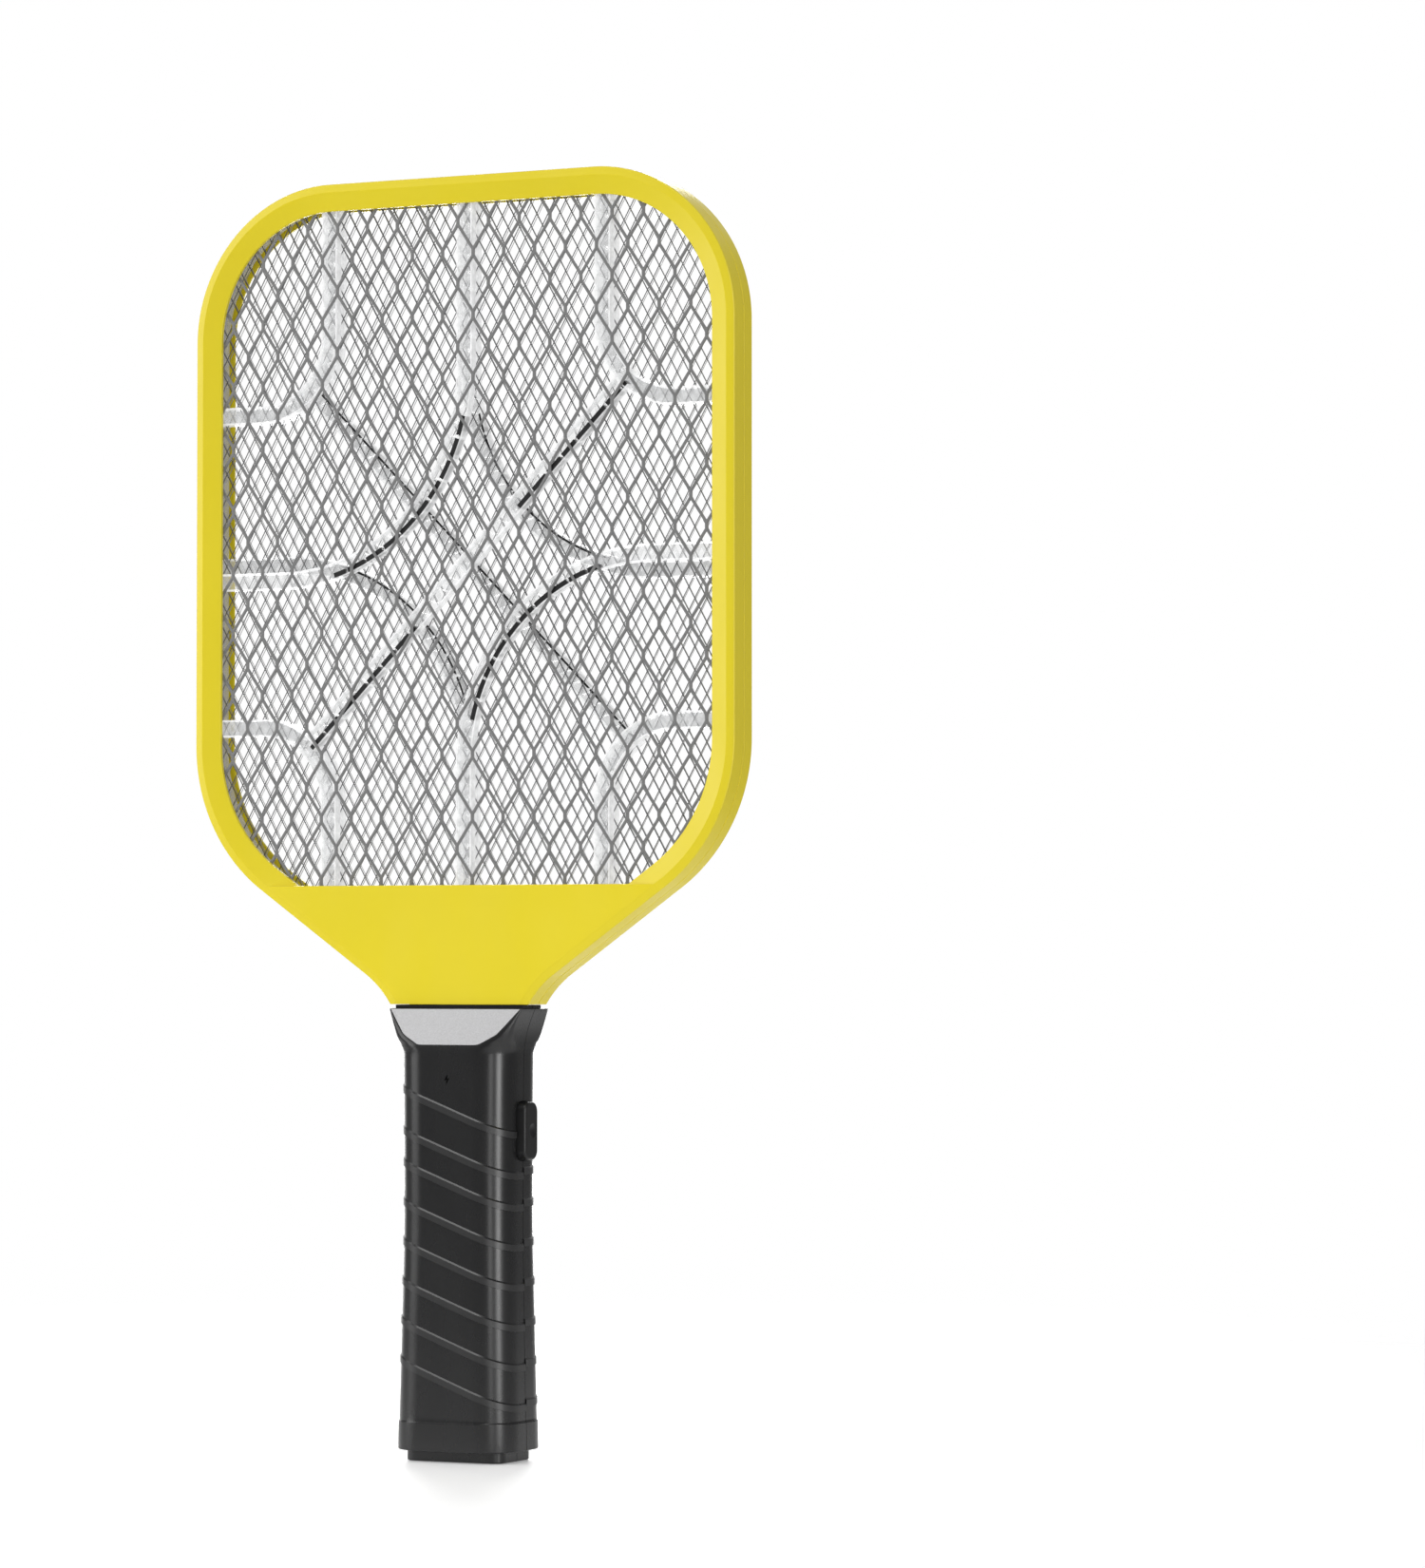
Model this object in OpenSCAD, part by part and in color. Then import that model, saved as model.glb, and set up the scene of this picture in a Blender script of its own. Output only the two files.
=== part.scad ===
// Electric fly swatter: a flat two-shell head with three meshes on a two-shell handle.
// Millimetres. +Z runs up the handle, the front faces -Y, the origin is under the foot.

/* [Head] */
// Overall height, foot to top of head
total_h = 430; // [400:1:460]
// Half of the head's greatest width
head_half_w = 102.3; // [92:0.1:112]
// Radius of the two top corners
top_corner_r = 52; // [40:1:60]
// Radius of the two lower corners
low_corner_r = 60; // [50:1:70]
// Height of the lower corners' centres
low_corner_z = 240; // [225:1:255]
// Slope of the head's lower flanks, from level
flank_angle = 35; // [25:1:45]
// Radius of the hollow curve from flank to handle
neck_r = 35; // [25:1:50]
// Height of the opening's straight bottom edge
opening_z = 192; // [186:1:200]
// Width of the ring, from its outer wall to the opening
ring_w = 9; // [7:0.2:13]
// Width of the ring's outer bevel
bevel_w = 2.8; // [1:0.1:5]
// Thickness of the yellow walls
wall = 2; // [1.4:0.1:3]

/* [Meshes] */
// Width of one guard diamond
guard_pitch_x = 11.62; // [8:0.02:16]
// Height of one guard diamond
guard_pitch_z = 21.08; // [14:0.02:28]
// Width of the front guard's strands
guard_strand = 0.95; // [0.6:0.05:2]
// Height of the bond where two strands meet
guard_bond = 1.9; // [1:0.1:5]
// Width of that bond
guard_bond_w = 1.15; // [0.8:0.05:2]
// Width of one diamond of the live mesh and the rear guard
live_pitch_x = 4.36; // [3:0.05:8]
// Height of one diamond of the live mesh and the rear guard
live_pitch_z = 7.9; // [5:0.05:14]
// Thickness of the live mesh's and the rear guard's wires
live_wire = 0.42; // [0.3:0.02:1]
// Width of the clear spacers' ribs
spacer_rib = 5.8; // [4:0.2:9]

/* [Handle] */
// Height of the collar's top edge
collar_z = 150.8; // [145:0.2:160]
// Half width of the handle at its waist
waist_half_w = 20.6; // [18:0.1:24]
// Half depth of the handle at its waist
waist_half_d = 15.4; // [14:0.1:18]
// Corner radius of the handle's section
grip_corner_r = 11.3; // [8:0.1:13]
// Thickness of the black walls
shell_wall = 2.3; // [1.8:0.1:3]
// Height of the raised bands
rib_h = 2.7; // [2:0.1:5]
// How far the bands stand out
rib_out = 0.35; // [0.2:0.05:1]
// Slope of the bands across the front
rib_slope = 21; // [0:1:35]

/* [Button] */
// Height of the button's centre
button_z = 110; // [104:0.5:116]
// Length of the button
button_len = 19.4; // [14:0.2:24]
// Width of the button
button_w = 9.2; // [7:0.2:12]
// How far the button stands out
button_out = 3.3; // [2:0.1:5]
// How far the button can be pressed
button_travel = 1.5; // [0.8:0.1:2]

/* [Batteries] */
// Diameter of an AA cell
cell_d = 14.2; // [13.5:0.1:14.5]
// Length of an AA cell's can
cell_len = 49.5; // [49:0.1:50]
// Bottom of the battery door
door_z0 = 14.4; // [14:0.1:20]
// Top of the battery door
door_z1 = 67.6; // [60:0.1:69]

/* [Hidden] */
$fn = 96;

// Where the front shell's wall ends, its ridge stands, and its sloping band ends
front_edge_y = -7.2;
front_ridge_y = -7.8;
front_lip_y = -5.8;
front_seat_y = -4.7;
// The same for the rear shell
rear_edge_y = 6.2;
rear_ridge_y = 6.8;
rear_lip_y = 4.8;
rear_seat_y = 3.7;
// Half the gap shown along the parting line
part_gap = 0.12;
// Inset of the meshes' edges from the head's outer wall
stack_inset = 2.3;
// Bottom edge of the meshes and spacers
stack_z = 185;
// Thickness of each mesh
mesh_t = 0.6;
spacer_t = 3.3;
live_y = -0.8;

top_cx = head_half_w - top_corner_r;
top_cz = total_h - top_corner_r;
low_cx = head_half_w - low_corner_r;
turn = 90 - flank_angle;
flank_x = low_cx + low_corner_r * cos(turn);
flank_z = low_corner_z - low_corner_r * sin(turn);
neck_cx = waist_half_w + 0.3 + neck_r;
tangent_x = neck_cx - neck_r * cos(turn);
tangent_z = flank_z - (flank_x - tangent_x) * tan(flank_angle);
neck_cz = tangent_z - neck_r * sin(turn);
flank_len = (flank_x - tangent_x) / cos(flank_angle);
// Bottom of the yellow shells
neck_z = 152.1;

// Foot and bottom band
foot_half_w = 18.4;
foot_half_d = 12;
foot_h = 3.7;
band_z = 13.2;
band_half_w = 22.1;
band_half_d = 16.9;

// The collar's top, and the tilt of its flat front
collar_half_d = 9.6;
collar_foot_z = 138.4;
collar_tilt = atan((waist_half_d - 0.3 - collar_half_d) / (collar_z - collar_foot_z));
// Height of the indicator
icon_z = 127.2;

// Inside of the handle
bore_half_w = waist_half_w - shell_wall;
bore_half_d = waist_half_d - shell_wall;
bore_r = grip_corner_r - shell_wall;
bore_z0 = 6;
bore_z1 = 136;
// Neck plug that the handle clamps
plug_half_w = 19;
plug_half_d = 6.5;
plug_wall = 1.8;
plug_z = 134;
plug_screw_x = 12;
plug_screw_z = 142.6;
low_screw_x = 12.5;
low_screw_z = 77;

// Printed circuit board
board_y = 3;
board_t = 1.6;
board_half_w = 15;
board_z0 = 84;
board_z1 = 131;

// Battery bay
bay_z0 = 11.6;
bay_z1 = 70.4;
bay_floor_y = -3.4;
cell_x = 7.5;
cell_y = 4.2;
plate_t = 0.5;
spring_len = 6.4;
// Where the two battery leads leave the bay
lead_x = 6;
lead_y = 1.4;

// Screws
shank_r = 1.3;
pilot_r = 1.36;
clear_r = 1.6;
head_r = 2.6;
head_h = 1.6;
plug_seat_y = 9;
low_seat_y = 9.8;
frame_screw_at = [[-38, 174.5], [38, 174.5], [-15, 163], [15, 163]];

// Section heights, half widths, half depths and corner radii of the handle, foot upwards
grip_sections = [
  [foot_h, band_half_w, band_half_d, grip_corner_r],
  [band_z, band_half_w - 0.1, band_half_d - 0.1, grip_corner_r],
  [band_z + 0.5, band_half_w - 0.35, band_half_d - 0.35, grip_corner_r],
  [45, waist_half_w + 0.55, waist_half_d + 0.6, grip_corner_r],
  [85, waist_half_w, waist_half_d, grip_corner_r],
  [135.5, waist_half_w + 0.3, waist_half_d, grip_corner_r],
  [collar_foot_z, 21.25, waist_half_d - 0.3, 9.6],
  [141, 21.7, 13.95, 5.4],
  [144, 22.45, 12.62, 2.8],
  [147.4, 23.7, 11.11, 1.2],
  [collar_z, 25.2, collar_half_d, 0.5]
];

// ---- Shared shapes ----

// A flat drawing in X and Z, given thickness from y0 to y1
module slab(y0, y1) {
  translate([0, y1, 0])
    rotate([90, 0, 0])
      linear_extrude(y1 - y0)
        children();
}

// A round bar along Y
module bar_y(x, z, y0, y1, r) {
  translate([x, y1, z])
    rotate([90, 0, 0])
      cylinder(h = y1 - y0, r = r);
}

// A box given by its low and high corners
module box(low, high) {
  translate(low)
    cube(high - low);
}

// A rectangle with round corners, centred
module round_rect(half_w, half_h, r) {
  square([2 * half_w, 2 * (half_h - r)], center = true);
  square([2 * (half_w - r), 2 * half_h], center = true);
  for (sx = [-1, 1], sy = [-1, 1])
    translate([sx * (half_w - r), sy * (half_h - r)])
      circle(r);
}

// The head's outline, moved in by u: a sharp-cornered shape with its corners cut round
module head_outline(u) {
  half_w = head_half_w - u;
  reach = low_corner_r - u;
  hollow = neck_r + u;
  arc_x = low_cx + reach * cos(turn);
  arc_z = low_corner_z - reach * sin(turn);
  end_x = neck_cx - hollow * cos(turn);
  end_z = neck_cz + hollow * sin(turn);
  sharp_z = arc_z + (half_w - arc_x) * tan(flank_angle);
  difference() {
    polygon([
      [half_w, total_h - u], [half_w, sharp_z], [end_x, end_z], [end_x, neck_z],
      [-end_x, neck_z], [-end_x, end_z], [-half_w, sharp_z], [-half_w, total_h - u]
    ]);
    for (m = [0, 1])
      mirror([m, 0]) {
        difference() {
          translate([top_cx, top_cz])
            square(2 * top_corner_r);
          translate([top_cx, top_cz])
            circle(top_corner_r - u);
        }
        difference() {
          polygon([
            [low_cx, low_corner_z], [half_w + 5, low_corner_z], [half_w + 5, arc_z - 10],
            [arc_x + 5 * cos(turn), arc_z - 5 * sin(turn)]
          ]);
          translate([low_cx, low_corner_z])
            circle(reach);
        }
        translate([neck_cx, neck_cz])
          circle(hollow);
      }
  }
}

// A ring section: points are [inset, y], laid out from radius r going inwards or outwards
module ring_profile(points, r, way) {
  polygon([for (p = points) [r + way * p[0], p[1]]]);
}

// The ring section swept along an arc in the X-Z plane
module arc_run(points, cx, cz, r, way, a0, a1) {
  translate([cx, 0, cz])
    rotate([-90, 0, 0])
      rotate([0, 0, -a1])
        rotate_extrude(angle = a1 - a0)
          ring_profile(points, r, way);
}

// The ring section swept along a straight edge that faces the angle a
module straight_run(points, x, z, a, len) {
  translate([x, 0, z])
    rotate([0, 180 - a, 0])
      linear_extrude(len)
        ring_profile(points, 0, 1);
}

// The ring section swept all the way round the head, open at the neck
module head_ring(points) {
  straight_run(points, -top_cx, total_h, 90, 2 * top_cx);
  for (m = [0, 1])
    mirror([m, 0, 0]) {
      arc_run(points, top_cx, top_cz, top_corner_r, -1, 0, 90);
      straight_run(points, head_half_w, top_cz, 0, top_cz - low_corner_z);
      arc_run(points, low_cx, low_corner_z, low_corner_r, -1, -turn, 0);
      straight_run(points, flank_x, flank_z, -turn, flank_len);
      arc_run(points, neck_cx, neck_cz, neck_r, 1, 180 - turn, 152);
    }
}

// Outline shared by the stacked meshes and spacers
module stack_outline(u) {
  intersection() {
    head_outline(u);
    translate([-head_half_w, stack_z])
      square([2 * head_half_w, total_h]);
  }
}

// The clear window inside the stack's rim
module stack_window(rim) {
  intersection() {
    head_outline(stack_inset + rim);
    translate([-head_half_w, stack_z + rim])
      square([2 * head_half_w, total_h]);
  }
}

// ---- Head ----

// Screw posts of one head shell
module frame_posts(y0, y1, r) {
  for (p = frame_screw_at)
    bar_y(p[0], p[1], y0, y1, r);
}

// Ledge under the meshes, with gaps for the leads
module mesh_ledge(y0, y1) {
  for (span = [[-60, -20], [-12, -1], [4, 12], [20, 60]])
    box([span[0], y0, 182.6], [span[1], y1, 184.7]);
}

// Half of the hollow neck plug
module neck_plug(y0, y1) {
  difference() {
    box([-plug_half_w, y0, plug_z], [plug_half_w, y1, neck_z + 1.5]);
    box([-plug_half_w + plug_wall, plug_wall - plug_half_d, plug_z - 1],
        [plug_half_w - plug_wall, plug_half_d - plug_wall, neck_z + 3]);
    for (s = [-1, 1])
      bar_y(s * plug_screw_x, plug_screw_z, y0 - 1, y1 + 1, clear_r);
  }
}

module front_frame() {
  profile = [
    [0, -part_gap], [0, front_edge_y], [bevel_w, front_ridge_y], [ring_w, front_lip_y],
    [ring_w, front_seat_y], [wall, front_seat_y], [wall, -1], [0.95, -1], [0.95, -part_gap]
  ];
  color([0.91, 0.84, 0.2]) {
    difference() {
      union() {
        head_ring(profile);
        slab(front_ridge_y, front_ridge_y + 2.2)
          intersection() {
            translate([0, 0.1])
              head_outline(bevel_w + 0.25);
            translate([-head_half_w, neck_z - 1])
              square([2 * head_half_w, opening_z - neck_z + 1]);
          }
        frame_posts(front_ridge_y + 1, -0.2, 3.2);
        mesh_ledge(front_ridge_y + 1, -0.3);
        box([-25, front_ridge_y + 0.5, neck_z - 1], [25, -part_gap, neck_z + 1.5]);
      }
      box([-40, -20, 100], [40, 20, neck_z]);
      box([-17.2, -4.7, neck_z - 1], [17.2, 1, neck_z + 2]);
      for (p = frame_screw_at)
        bar_y(p[0], p[1], front_ridge_y + 1.6, 1, pilot_r);
    }
    neck_plug(-plug_half_d, -part_gap);
  }
}

module rear_frame() {
  profile = [
    [0, part_gap], [0, rear_edge_y], [bevel_w, rear_ridge_y], [ring_w - 0.6, rear_lip_y],
    [ring_w - 0.6, rear_seat_y], [wall, rear_seat_y], [wall, -0.85], [1.05, -0.85], [1.05, part_gap]
  ];
  color([0.91, 0.84, 0.2]) {
    difference() {
      union() {
        head_ring(profile);
        slab(rear_ridge_y - 1.9, rear_ridge_y)
          intersection() {
            head_outline(bevel_w);
            translate([-head_half_w, neck_z])
              square([2 * head_half_w, opening_z - neck_z]);
          }
        frame_posts(0, rear_ridge_y - 1, 3.6);
        mesh_ledge(0.3, rear_ridge_y - 1);
        box([-25, part_gap, neck_z], [25, rear_ridge_y - 0.5, neck_z + 1.5]);
      }
      box([-40, -20, 100], [40, 20, neck_z]);
      box([-17.2, -1, neck_z - 1], [17.2, 4.7, neck_z + 2]);
      for (p = frame_screw_at) {
        bar_y(p[0], p[1], -1, rear_ridge_y + 1, clear_r);
        bar_y(p[0], p[1], rear_ridge_y - head_h - 0.2, rear_ridge_y + 1, head_r + 0.3);
      }
    }
    neck_plug(part_gap, plug_half_d);
  }
}

// ---- Meshes and spacers ----

// One hole of the expanded metal, a tall hexagon
module diamond_hole() {
  half_w = (guard_pitch_x - guard_bond_w) / 2;
  top_z = (guard_pitch_z - guard_bond) / 2 - 0.83 * guard_strand;
  low_z = guard_bond / 2;
  polygon([
    [0, top_z], [half_w, low_z], [half_w, -low_z],
    [0, -top_z], [-half_w, -low_z], [-half_w, low_z]
  ]);
}

// Coarse front guard: a thin rim filled with staggered diamonds
module front_guard_mesh() {
  color([0.52, 0.52, 0.52])
    slab(front_seat_y, front_seat_y + mesh_t)
      difference() {
        stack_outline(stack_inset);
        intersection() {
          stack_window(2.5);
          for (i = [-18:18], j = [0:23])
            if ((i + j) % 2 != 0)
              translate([i * guard_pitch_x / 2 - 2.18, 183.1 + j * guard_pitch_z / 2])
                diamond_hole();
        }
      }
}

// One layer of parallel wires, leaning to one side, moved sideways by shift
module wire_layer(lean, shift) {
  slope = atan2(live_pitch_z, live_pitch_x);
  intersection() {
    stack_window(1.5);
    for (i = [-40:40])
      translate([i * live_pitch_x + shift, 307])
        rotate(lean * slope)
          square([300, live_wire], center = true);
  }
}

// Fine mesh from y0 backwards: a thin rim that holds two crossed layers of wires, each with its shift
module fine_mesh(y0, shift_right, shift_left) {
  layer_t = 0.29;
  slab(y0, y0 + mesh_t)
    difference() {
      stack_outline(stack_inset);
      stack_window(2.5);
    }
  slab(y0, y0 + layer_t)
    wire_layer(1, shift_right);
  slab(y0 + mesh_t - layer_t, y0 + mesh_t)
    wire_layer(-1, shift_left);
}

module high_voltage_mesh() {
  color([0.42, 0.42, 0.43])
    fine_mesh(live_y, 0.28, 3.15);
}

module rear_guard_mesh() {
  color([0.52, 0.52, 0.52])
    fine_mesh(rear_seat_y - mesh_t, 3.1, 1.61);
}

// A quarter bend of rib from angle a0, around a centre
module rib_bend(x, z, r, qx, qz) {
  intersection() {
    translate([x, z])
      difference() {
        circle(r + spacer_rib / 2);
        circle(r - spacer_rib / 2);
      }
    translate([x + (qx < 0 ? -2 * r : 0), z + (qz < 0 ? -2 * r : 0)])
      square(2 * r);
  }
}

// A straight rib between two corners of a box, in the X-Z plane
module rib_bar(x0, z0, x1, z1) {
  translate([x0, z0])
    square([x1 - x0, z1 - z0]);
}

// Rib grid: four corner bends, two long bends and one diagonal
module spacer_grid() {
  half = spacer_rib / 2;
  side_x = 52;
  high_z = 353;
  low_z = 246;
  left_z = 296;
  right_z = 301.5;
  cross_z = 299.5;
  small_r = 26;
  long_r = 69.5;
  difference() {
    stack_outline(stack_inset);
    stack_window(4.5);
  }
  intersection() {
    stack_outline(stack_inset + 1);
    union() {
      for (s = [-1, 1]) {
        rib_bar(s * side_x - half, high_z + small_r, s * side_x + half, total_h);
        rib_bend(s * (side_x + small_r), high_z + small_r, small_r, -s, -1);
        rib_bend(s * (side_x + small_r), low_z - small_r, small_r, -s, 1);
        rib_bar(s * side_x - half, stack_z, s * side_x + half, low_z - small_r);
        rib_bar(min(s * (side_x + small_r), s * 110), high_z - half,
                max(s * (side_x + small_r), s * 110), high_z + half);
        rib_bar(min(s * (side_x + small_r), s * 110), low_z - half,
                max(s * (side_x + small_r), s * 110), low_z + half);
      }
      rib_bar(-half, left_z + long_r, half, total_h);
      rib_bend(-long_r, left_z + long_r, long_r, 1, -1);
      rib_bar(-110, left_z - half, -long_r, left_z + half);
      rib_bar(-half, stack_z, half, right_z - long_r);
      rib_bend(long_r, right_z - long_r, long_r, -1, 1);
      rib_bar(long_r, right_z - half, 110, right_z + half);
      translate([0, cross_z])
        rotate(45)
          square([169, spacer_rib], center = true);
    }
  }
}

module front_spacer() {
  color([0.9, 0.93, 0.95, 0.4])
    slab(front_seat_y + mesh_t, front_seat_y + mesh_t + spacer_t)
      spacer_grid();
}

module rear_spacer() {
  color([0.9, 0.93, 0.95, 0.4])
    slab(live_y + mesh_t, live_y + mesh_t + spacer_t)
      mirror([1, 0])
        spacer_grid();
}

// ---- Screws ----

// A pan-head screw driven towards -Y, with a cross recess
module screw(x, z, y_head, len) {
  difference() {
    union() {
      bar_y(x, z, y_head - head_h, y_head, head_r);
      bar_y(x, z, y_head - head_h - len, y_head - head_h + 0.1, shank_r);
    }
    box([x - 1.5, y_head - 0.9, z - 0.3], [x + 1.5, y_head + 1, z + 0.3]);
    box([x - 0.3, y_head - 0.9, z - 1.5], [x + 0.3, y_head + 1, z + 1.5]);
  }
}

module frame_screws() {
  color([0.6, 0.6, 0.62])
    for (p = frame_screw_at)
      screw(p[0], p[1], rear_ridge_y - 0.2, 9);
}

module handle_screws() {
  color([0.6, 0.6, 0.62])
    for (s = [-1, 1]) {
      screw(s * plug_screw_x, plug_screw_z, plug_seat_y + head_h, 18);
      screw(s * low_screw_x, low_screw_z, low_seat_y + head_h, 18);
    }
}

// ---- Handle ----

// Corner points of one section of the handle, grown by out
function section_points(s, out) = [
  for (q = [0:3], k = [0:10])
    let (
      a = 90 * q + 9 * k,
      sx = (q == 0 || q == 3) ? 1 : -1,
      sy = q < 2 ? 1 : -1
    )
    [
      sx * (s[1] - s[3]) + max(s[3] + out, 0.1) * cos(a),
      sy * (s[2] - s[3]) + max(s[3] + out, 0.1) * sin(a),
      s[0]
    ]
];

// The handle's outer body, lofted through its sections
module grip_body(out) {
  per = 44;
  count = len(grip_sections);
  points = [for (s = grip_sections) each section_points(s, out)];
  sides = [
    for (i = [0:count - 2], k = [0:per - 1])
      let (a = i * per + k, b = i * per + (k + 1) % per)
      each [[a, a + per, b], [b, a + per, b + per]]
  ];
  bottom = [[for (k = [0:per - 1]) k]];
  top = [[for (k = [0:per - 1]) (count - 1) * per + per - 1 - k]];
  polyhedron(points = points, faces = concat(bottom, sides, top));
}

// The eight slanted bands, shifted up by lift
module grip_bands(lift) {
  heights = [for (i = [0:5]) 27.9 + 13.2 * i, 104.5, 118.2];
  intersection() {
    grip_body(rib_out);
    for (z = heights)
      translate([0, 0, z - rib_h / 2 + lift])
        rotate([0, rib_slope, 0])
          cube([80, 60, rib_h * cos(rib_slope)], center = true);
  }
}

// The hollow inside the handle
module grip_bore() {
  translate([0, 0, bore_z0])
    linear_extrude(bore_z1 - bore_z0)
      round_rect(bore_half_w, bore_half_d, bore_r);
  box([-plug_half_w - 0.2, -plug_half_d - 0.2, bore_z1 - 3],
      [plug_half_w + 0.2, plug_half_d + 0.2, collar_z + 2]);
}

// Raised lip on the collar's top, which fills the gap under the yellow neck
module collar_lip() {
  box([-24, -7.1, collar_z - 0.6], [24, 6.1, collar_z + 1.15]);
}

// The button's opening, cut across both shells
module button_window() {
  translate([bore_half_w - 3, 0, button_z])
    rotate([90, 0, 90])
      linear_extrude(12)
        round_rect(button_w / 2 + 0.3, button_len / 2 + 0.3, 3.7);
}

// Outline of the trim plate, grown by grow
module trim_outline(grow) {
  corner = [[17.6, 4.05], [16.3, 2.7], [14.9, 1.6], [13.2, 0.75], [11.3, 0.3]];
  right = [for (p = corner) [p[0] + grow, p[1] - grow / 2]];
  left = [for (k = [4:-1:0]) [-corner[k][0] - grow, corner[k][1] - grow / 2]];
  polygon(concat([[-24.5 - grow, 13.3], [24.5 + grow, 13.3]], right, left));
}

// Lays a drawing on the collar's sloping front, between two heights over its surface
module on_collar(low, high) {
  translate([0, 0.3 - waist_half_d, collar_foot_z])
    rotate([90 - collar_tilt, 0, 0])
      translate([0, 0, low])
        linear_extrude(high - low)
          children();
}

// Screw posts inside the handle
module grip_posts(y0, y1, r) {
  for (s = [-1, 1])
    bar_y(s * low_screw_x, low_screw_z, y0, y1, r);
}

// Bolt-shaped outline of the indicator
module bolt_outline(k) {
  points = [[0.35, 1.95], [-1.05, -0.25], [-0.1, -0.25], [-0.4, -1.95], [1.05, 0.4], [0.15, 0.4]];
  polygon(k * points);
}

module front_handle_shell() {
  color([0.17, 0.17, 0.17])
    difference() {
      union() {
        difference() {
          union() {
            grip_body(0);
            grip_bands(0);
            collar_lip();
          }
          grip_bore();
        }
        grip_posts(-bore_half_d - 0.4, -0.3, 3.4);
        linear_extrude(foot_h)
          round_rect(foot_half_w, foot_half_d, 4.4);
      }
      box([-40, -part_gap, -5], [40, 40, 200]);
      button_window();
      for (s = [-1, 1]) {
        bar_y(s * plug_screw_x, plug_screw_z, -9.4, 1, pilot_r);
        bar_y(s * low_screw_x, low_screw_z, -10.4, 1, pilot_r);
      }
      on_collar(-0.8, 3)
        trim_outline(0.25);
      slab(-20, -10)
        translate([0, icon_z])
          bolt_outline(1);
    }
}

module indicator_lens() {
  color([0.05, 0.05, 0.05])
    slab(-waist_half_d + 0.35, -bore_half_d - 0.2)
      translate([0, icon_z])
        bolt_outline(0.97);
}

module trim_plate() {
  color([0.77, 0.77, 0.78])
    on_collar(-0.78, 0)
      trim_outline(0);
}

// End wall of the battery bay
module bay_wall(z) {
  translate([0, 0, z])
    linear_extrude(1.6)
      intersection() {
        round_rect(bore_half_w + 0.3, bore_half_d + 0.3, bore_r + 0.3);
        translate([-40, part_gap])
          square([80, 40]);
      }
  box([-17.8, bay_floor_y - 1.5, z], [17.8, part_gap + 0.5, z + 1.6]);
}

module rear_handle_shell() {
  color([0.17, 0.17, 0.17])
    difference() {
      union() {
        difference() {
          union() {
            grip_body(0);
            grip_bands(1.5);
            collar_lip();
          }
          grip_bore();
          box([-40, -40, -5], [40, part_gap, 200]);
        }
        grip_posts(0.3, bore_half_d + 0.4, 4);
        bay_wall(bay_z0 - 1.6);
        bay_wall(bay_z1);
        box([-17.8, bay_floor_y - 1.5, bay_z0 - 1.6], [17.8, bay_floor_y, bay_z1 + 1.6]);
        for (x = [-11, 11], z = [89, 127])
          bar_y(x, z, board_y + board_t, bore_half_d + 0.5, 1.8);
        intersection() {
          linear_extrude(foot_h)
            round_rect(foot_half_w, foot_half_d, 4.4);
          box([-40, part_gap, -5], [40, 40, 200]);
        }
      }
      button_window();
      box([-15, 8, door_z0 - 0.4], [15, 30, door_z1 + 0.3]);
      for (s = [-1, 1]) {
        box([s * 7 - 2, 11.1, door_z0 - 2.4], [s * 7 + 2, 14.3, door_z0 - 0.3]);
        bar_y(s * plug_screw_x, plug_screw_z, 1, 30, clear_r);
        bar_y(s * plug_screw_x, plug_screw_z, plug_seat_y, 30, head_r + 0.3);
        bar_y(s * low_screw_x, low_screw_z, -1, 30, clear_r);
        bar_y(s * low_screw_x, low_screw_z, low_seat_y, 30, head_r + 0.3);
        translate([s * lead_x, lead_y, bay_z1 - 1])
          cylinder(h = 4, r = 0.95);
      }
    }
}

module battery_door() {
  color([0.17, 0.17, 0.17]) {
    difference() {
      intersection() {
        union() {
          grip_body(0);
          grip_bands(1.5);
        }
        box([-14.7, 8, door_z0], [14.7, 30, door_z1]);
      }
      grip_body(-2);
      for (z = [57, 59.6, 62.2])
        box([-6, waist_half_d, z], [6, 30, z + 1.2]);
    }
    for (s = [-1, 1]) {
      box([s * 7 - 1.6, 12.2, door_z0 - 1.9], [s * 7 + 1.6, 13.9, door_z0 + 1.5]);
      box([s * 7 - 1.6, 13, door_z0], [s * 7 + 1.6, 15, door_z0 + 1.5]);
    }
  }
}

// One layer of the button, from x0 to x1, grown by grow
module button_layer(x0, x1, grow, r) {
  translate([x0, 0, button_z])
    rotate([90, 0, 90])
      linear_extrude(x1 - x0)
        round_rect(button_w / 2 + grow, button_len / 2 + grow, r);
}

module zap_button() {
  face_x = waist_half_w + button_out;
  color([0.1, 0.1, 0.1])
    difference() {
      union() {
        button_layer(bore_half_w - 1, face_x - 0.5, 0, 3.4);
        button_layer(face_x - 0.5, face_x, -0.4, 3);
        button_layer(bore_half_w - 1.5, bore_half_w - 0.3, 0.9, 3.4);
      }
      translate([face_x + 4.4, 0, button_z])
        sphere(5);
    }
}

// ---- Electronics ----

module indicator_led() {
  color([0.85, 0.3, 0.25]) {
    bar_y(0, icon_z, -11, -8.4, 1.5);
    bar_y(0, icon_z, -8.4, -7.4, 1.9);
    translate([0, -11, icon_z])
      sphere(1.5);
    for (s = [-1, 1])
      bar_y(s * 0.8, icon_z, -7.5, board_y, 0.25);
  }
}

module switch_body() {
  color([0.2, 0.2, 0.22])
    difference() {
      box([6, -3, button_z - 3.5], [13.5, board_y, button_z + 3.5]);
      translate([8.4, 0, button_z])
        rotate([0, 90, 0])
          cylinder(h = 6, r = 1.9);
    }
}

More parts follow.
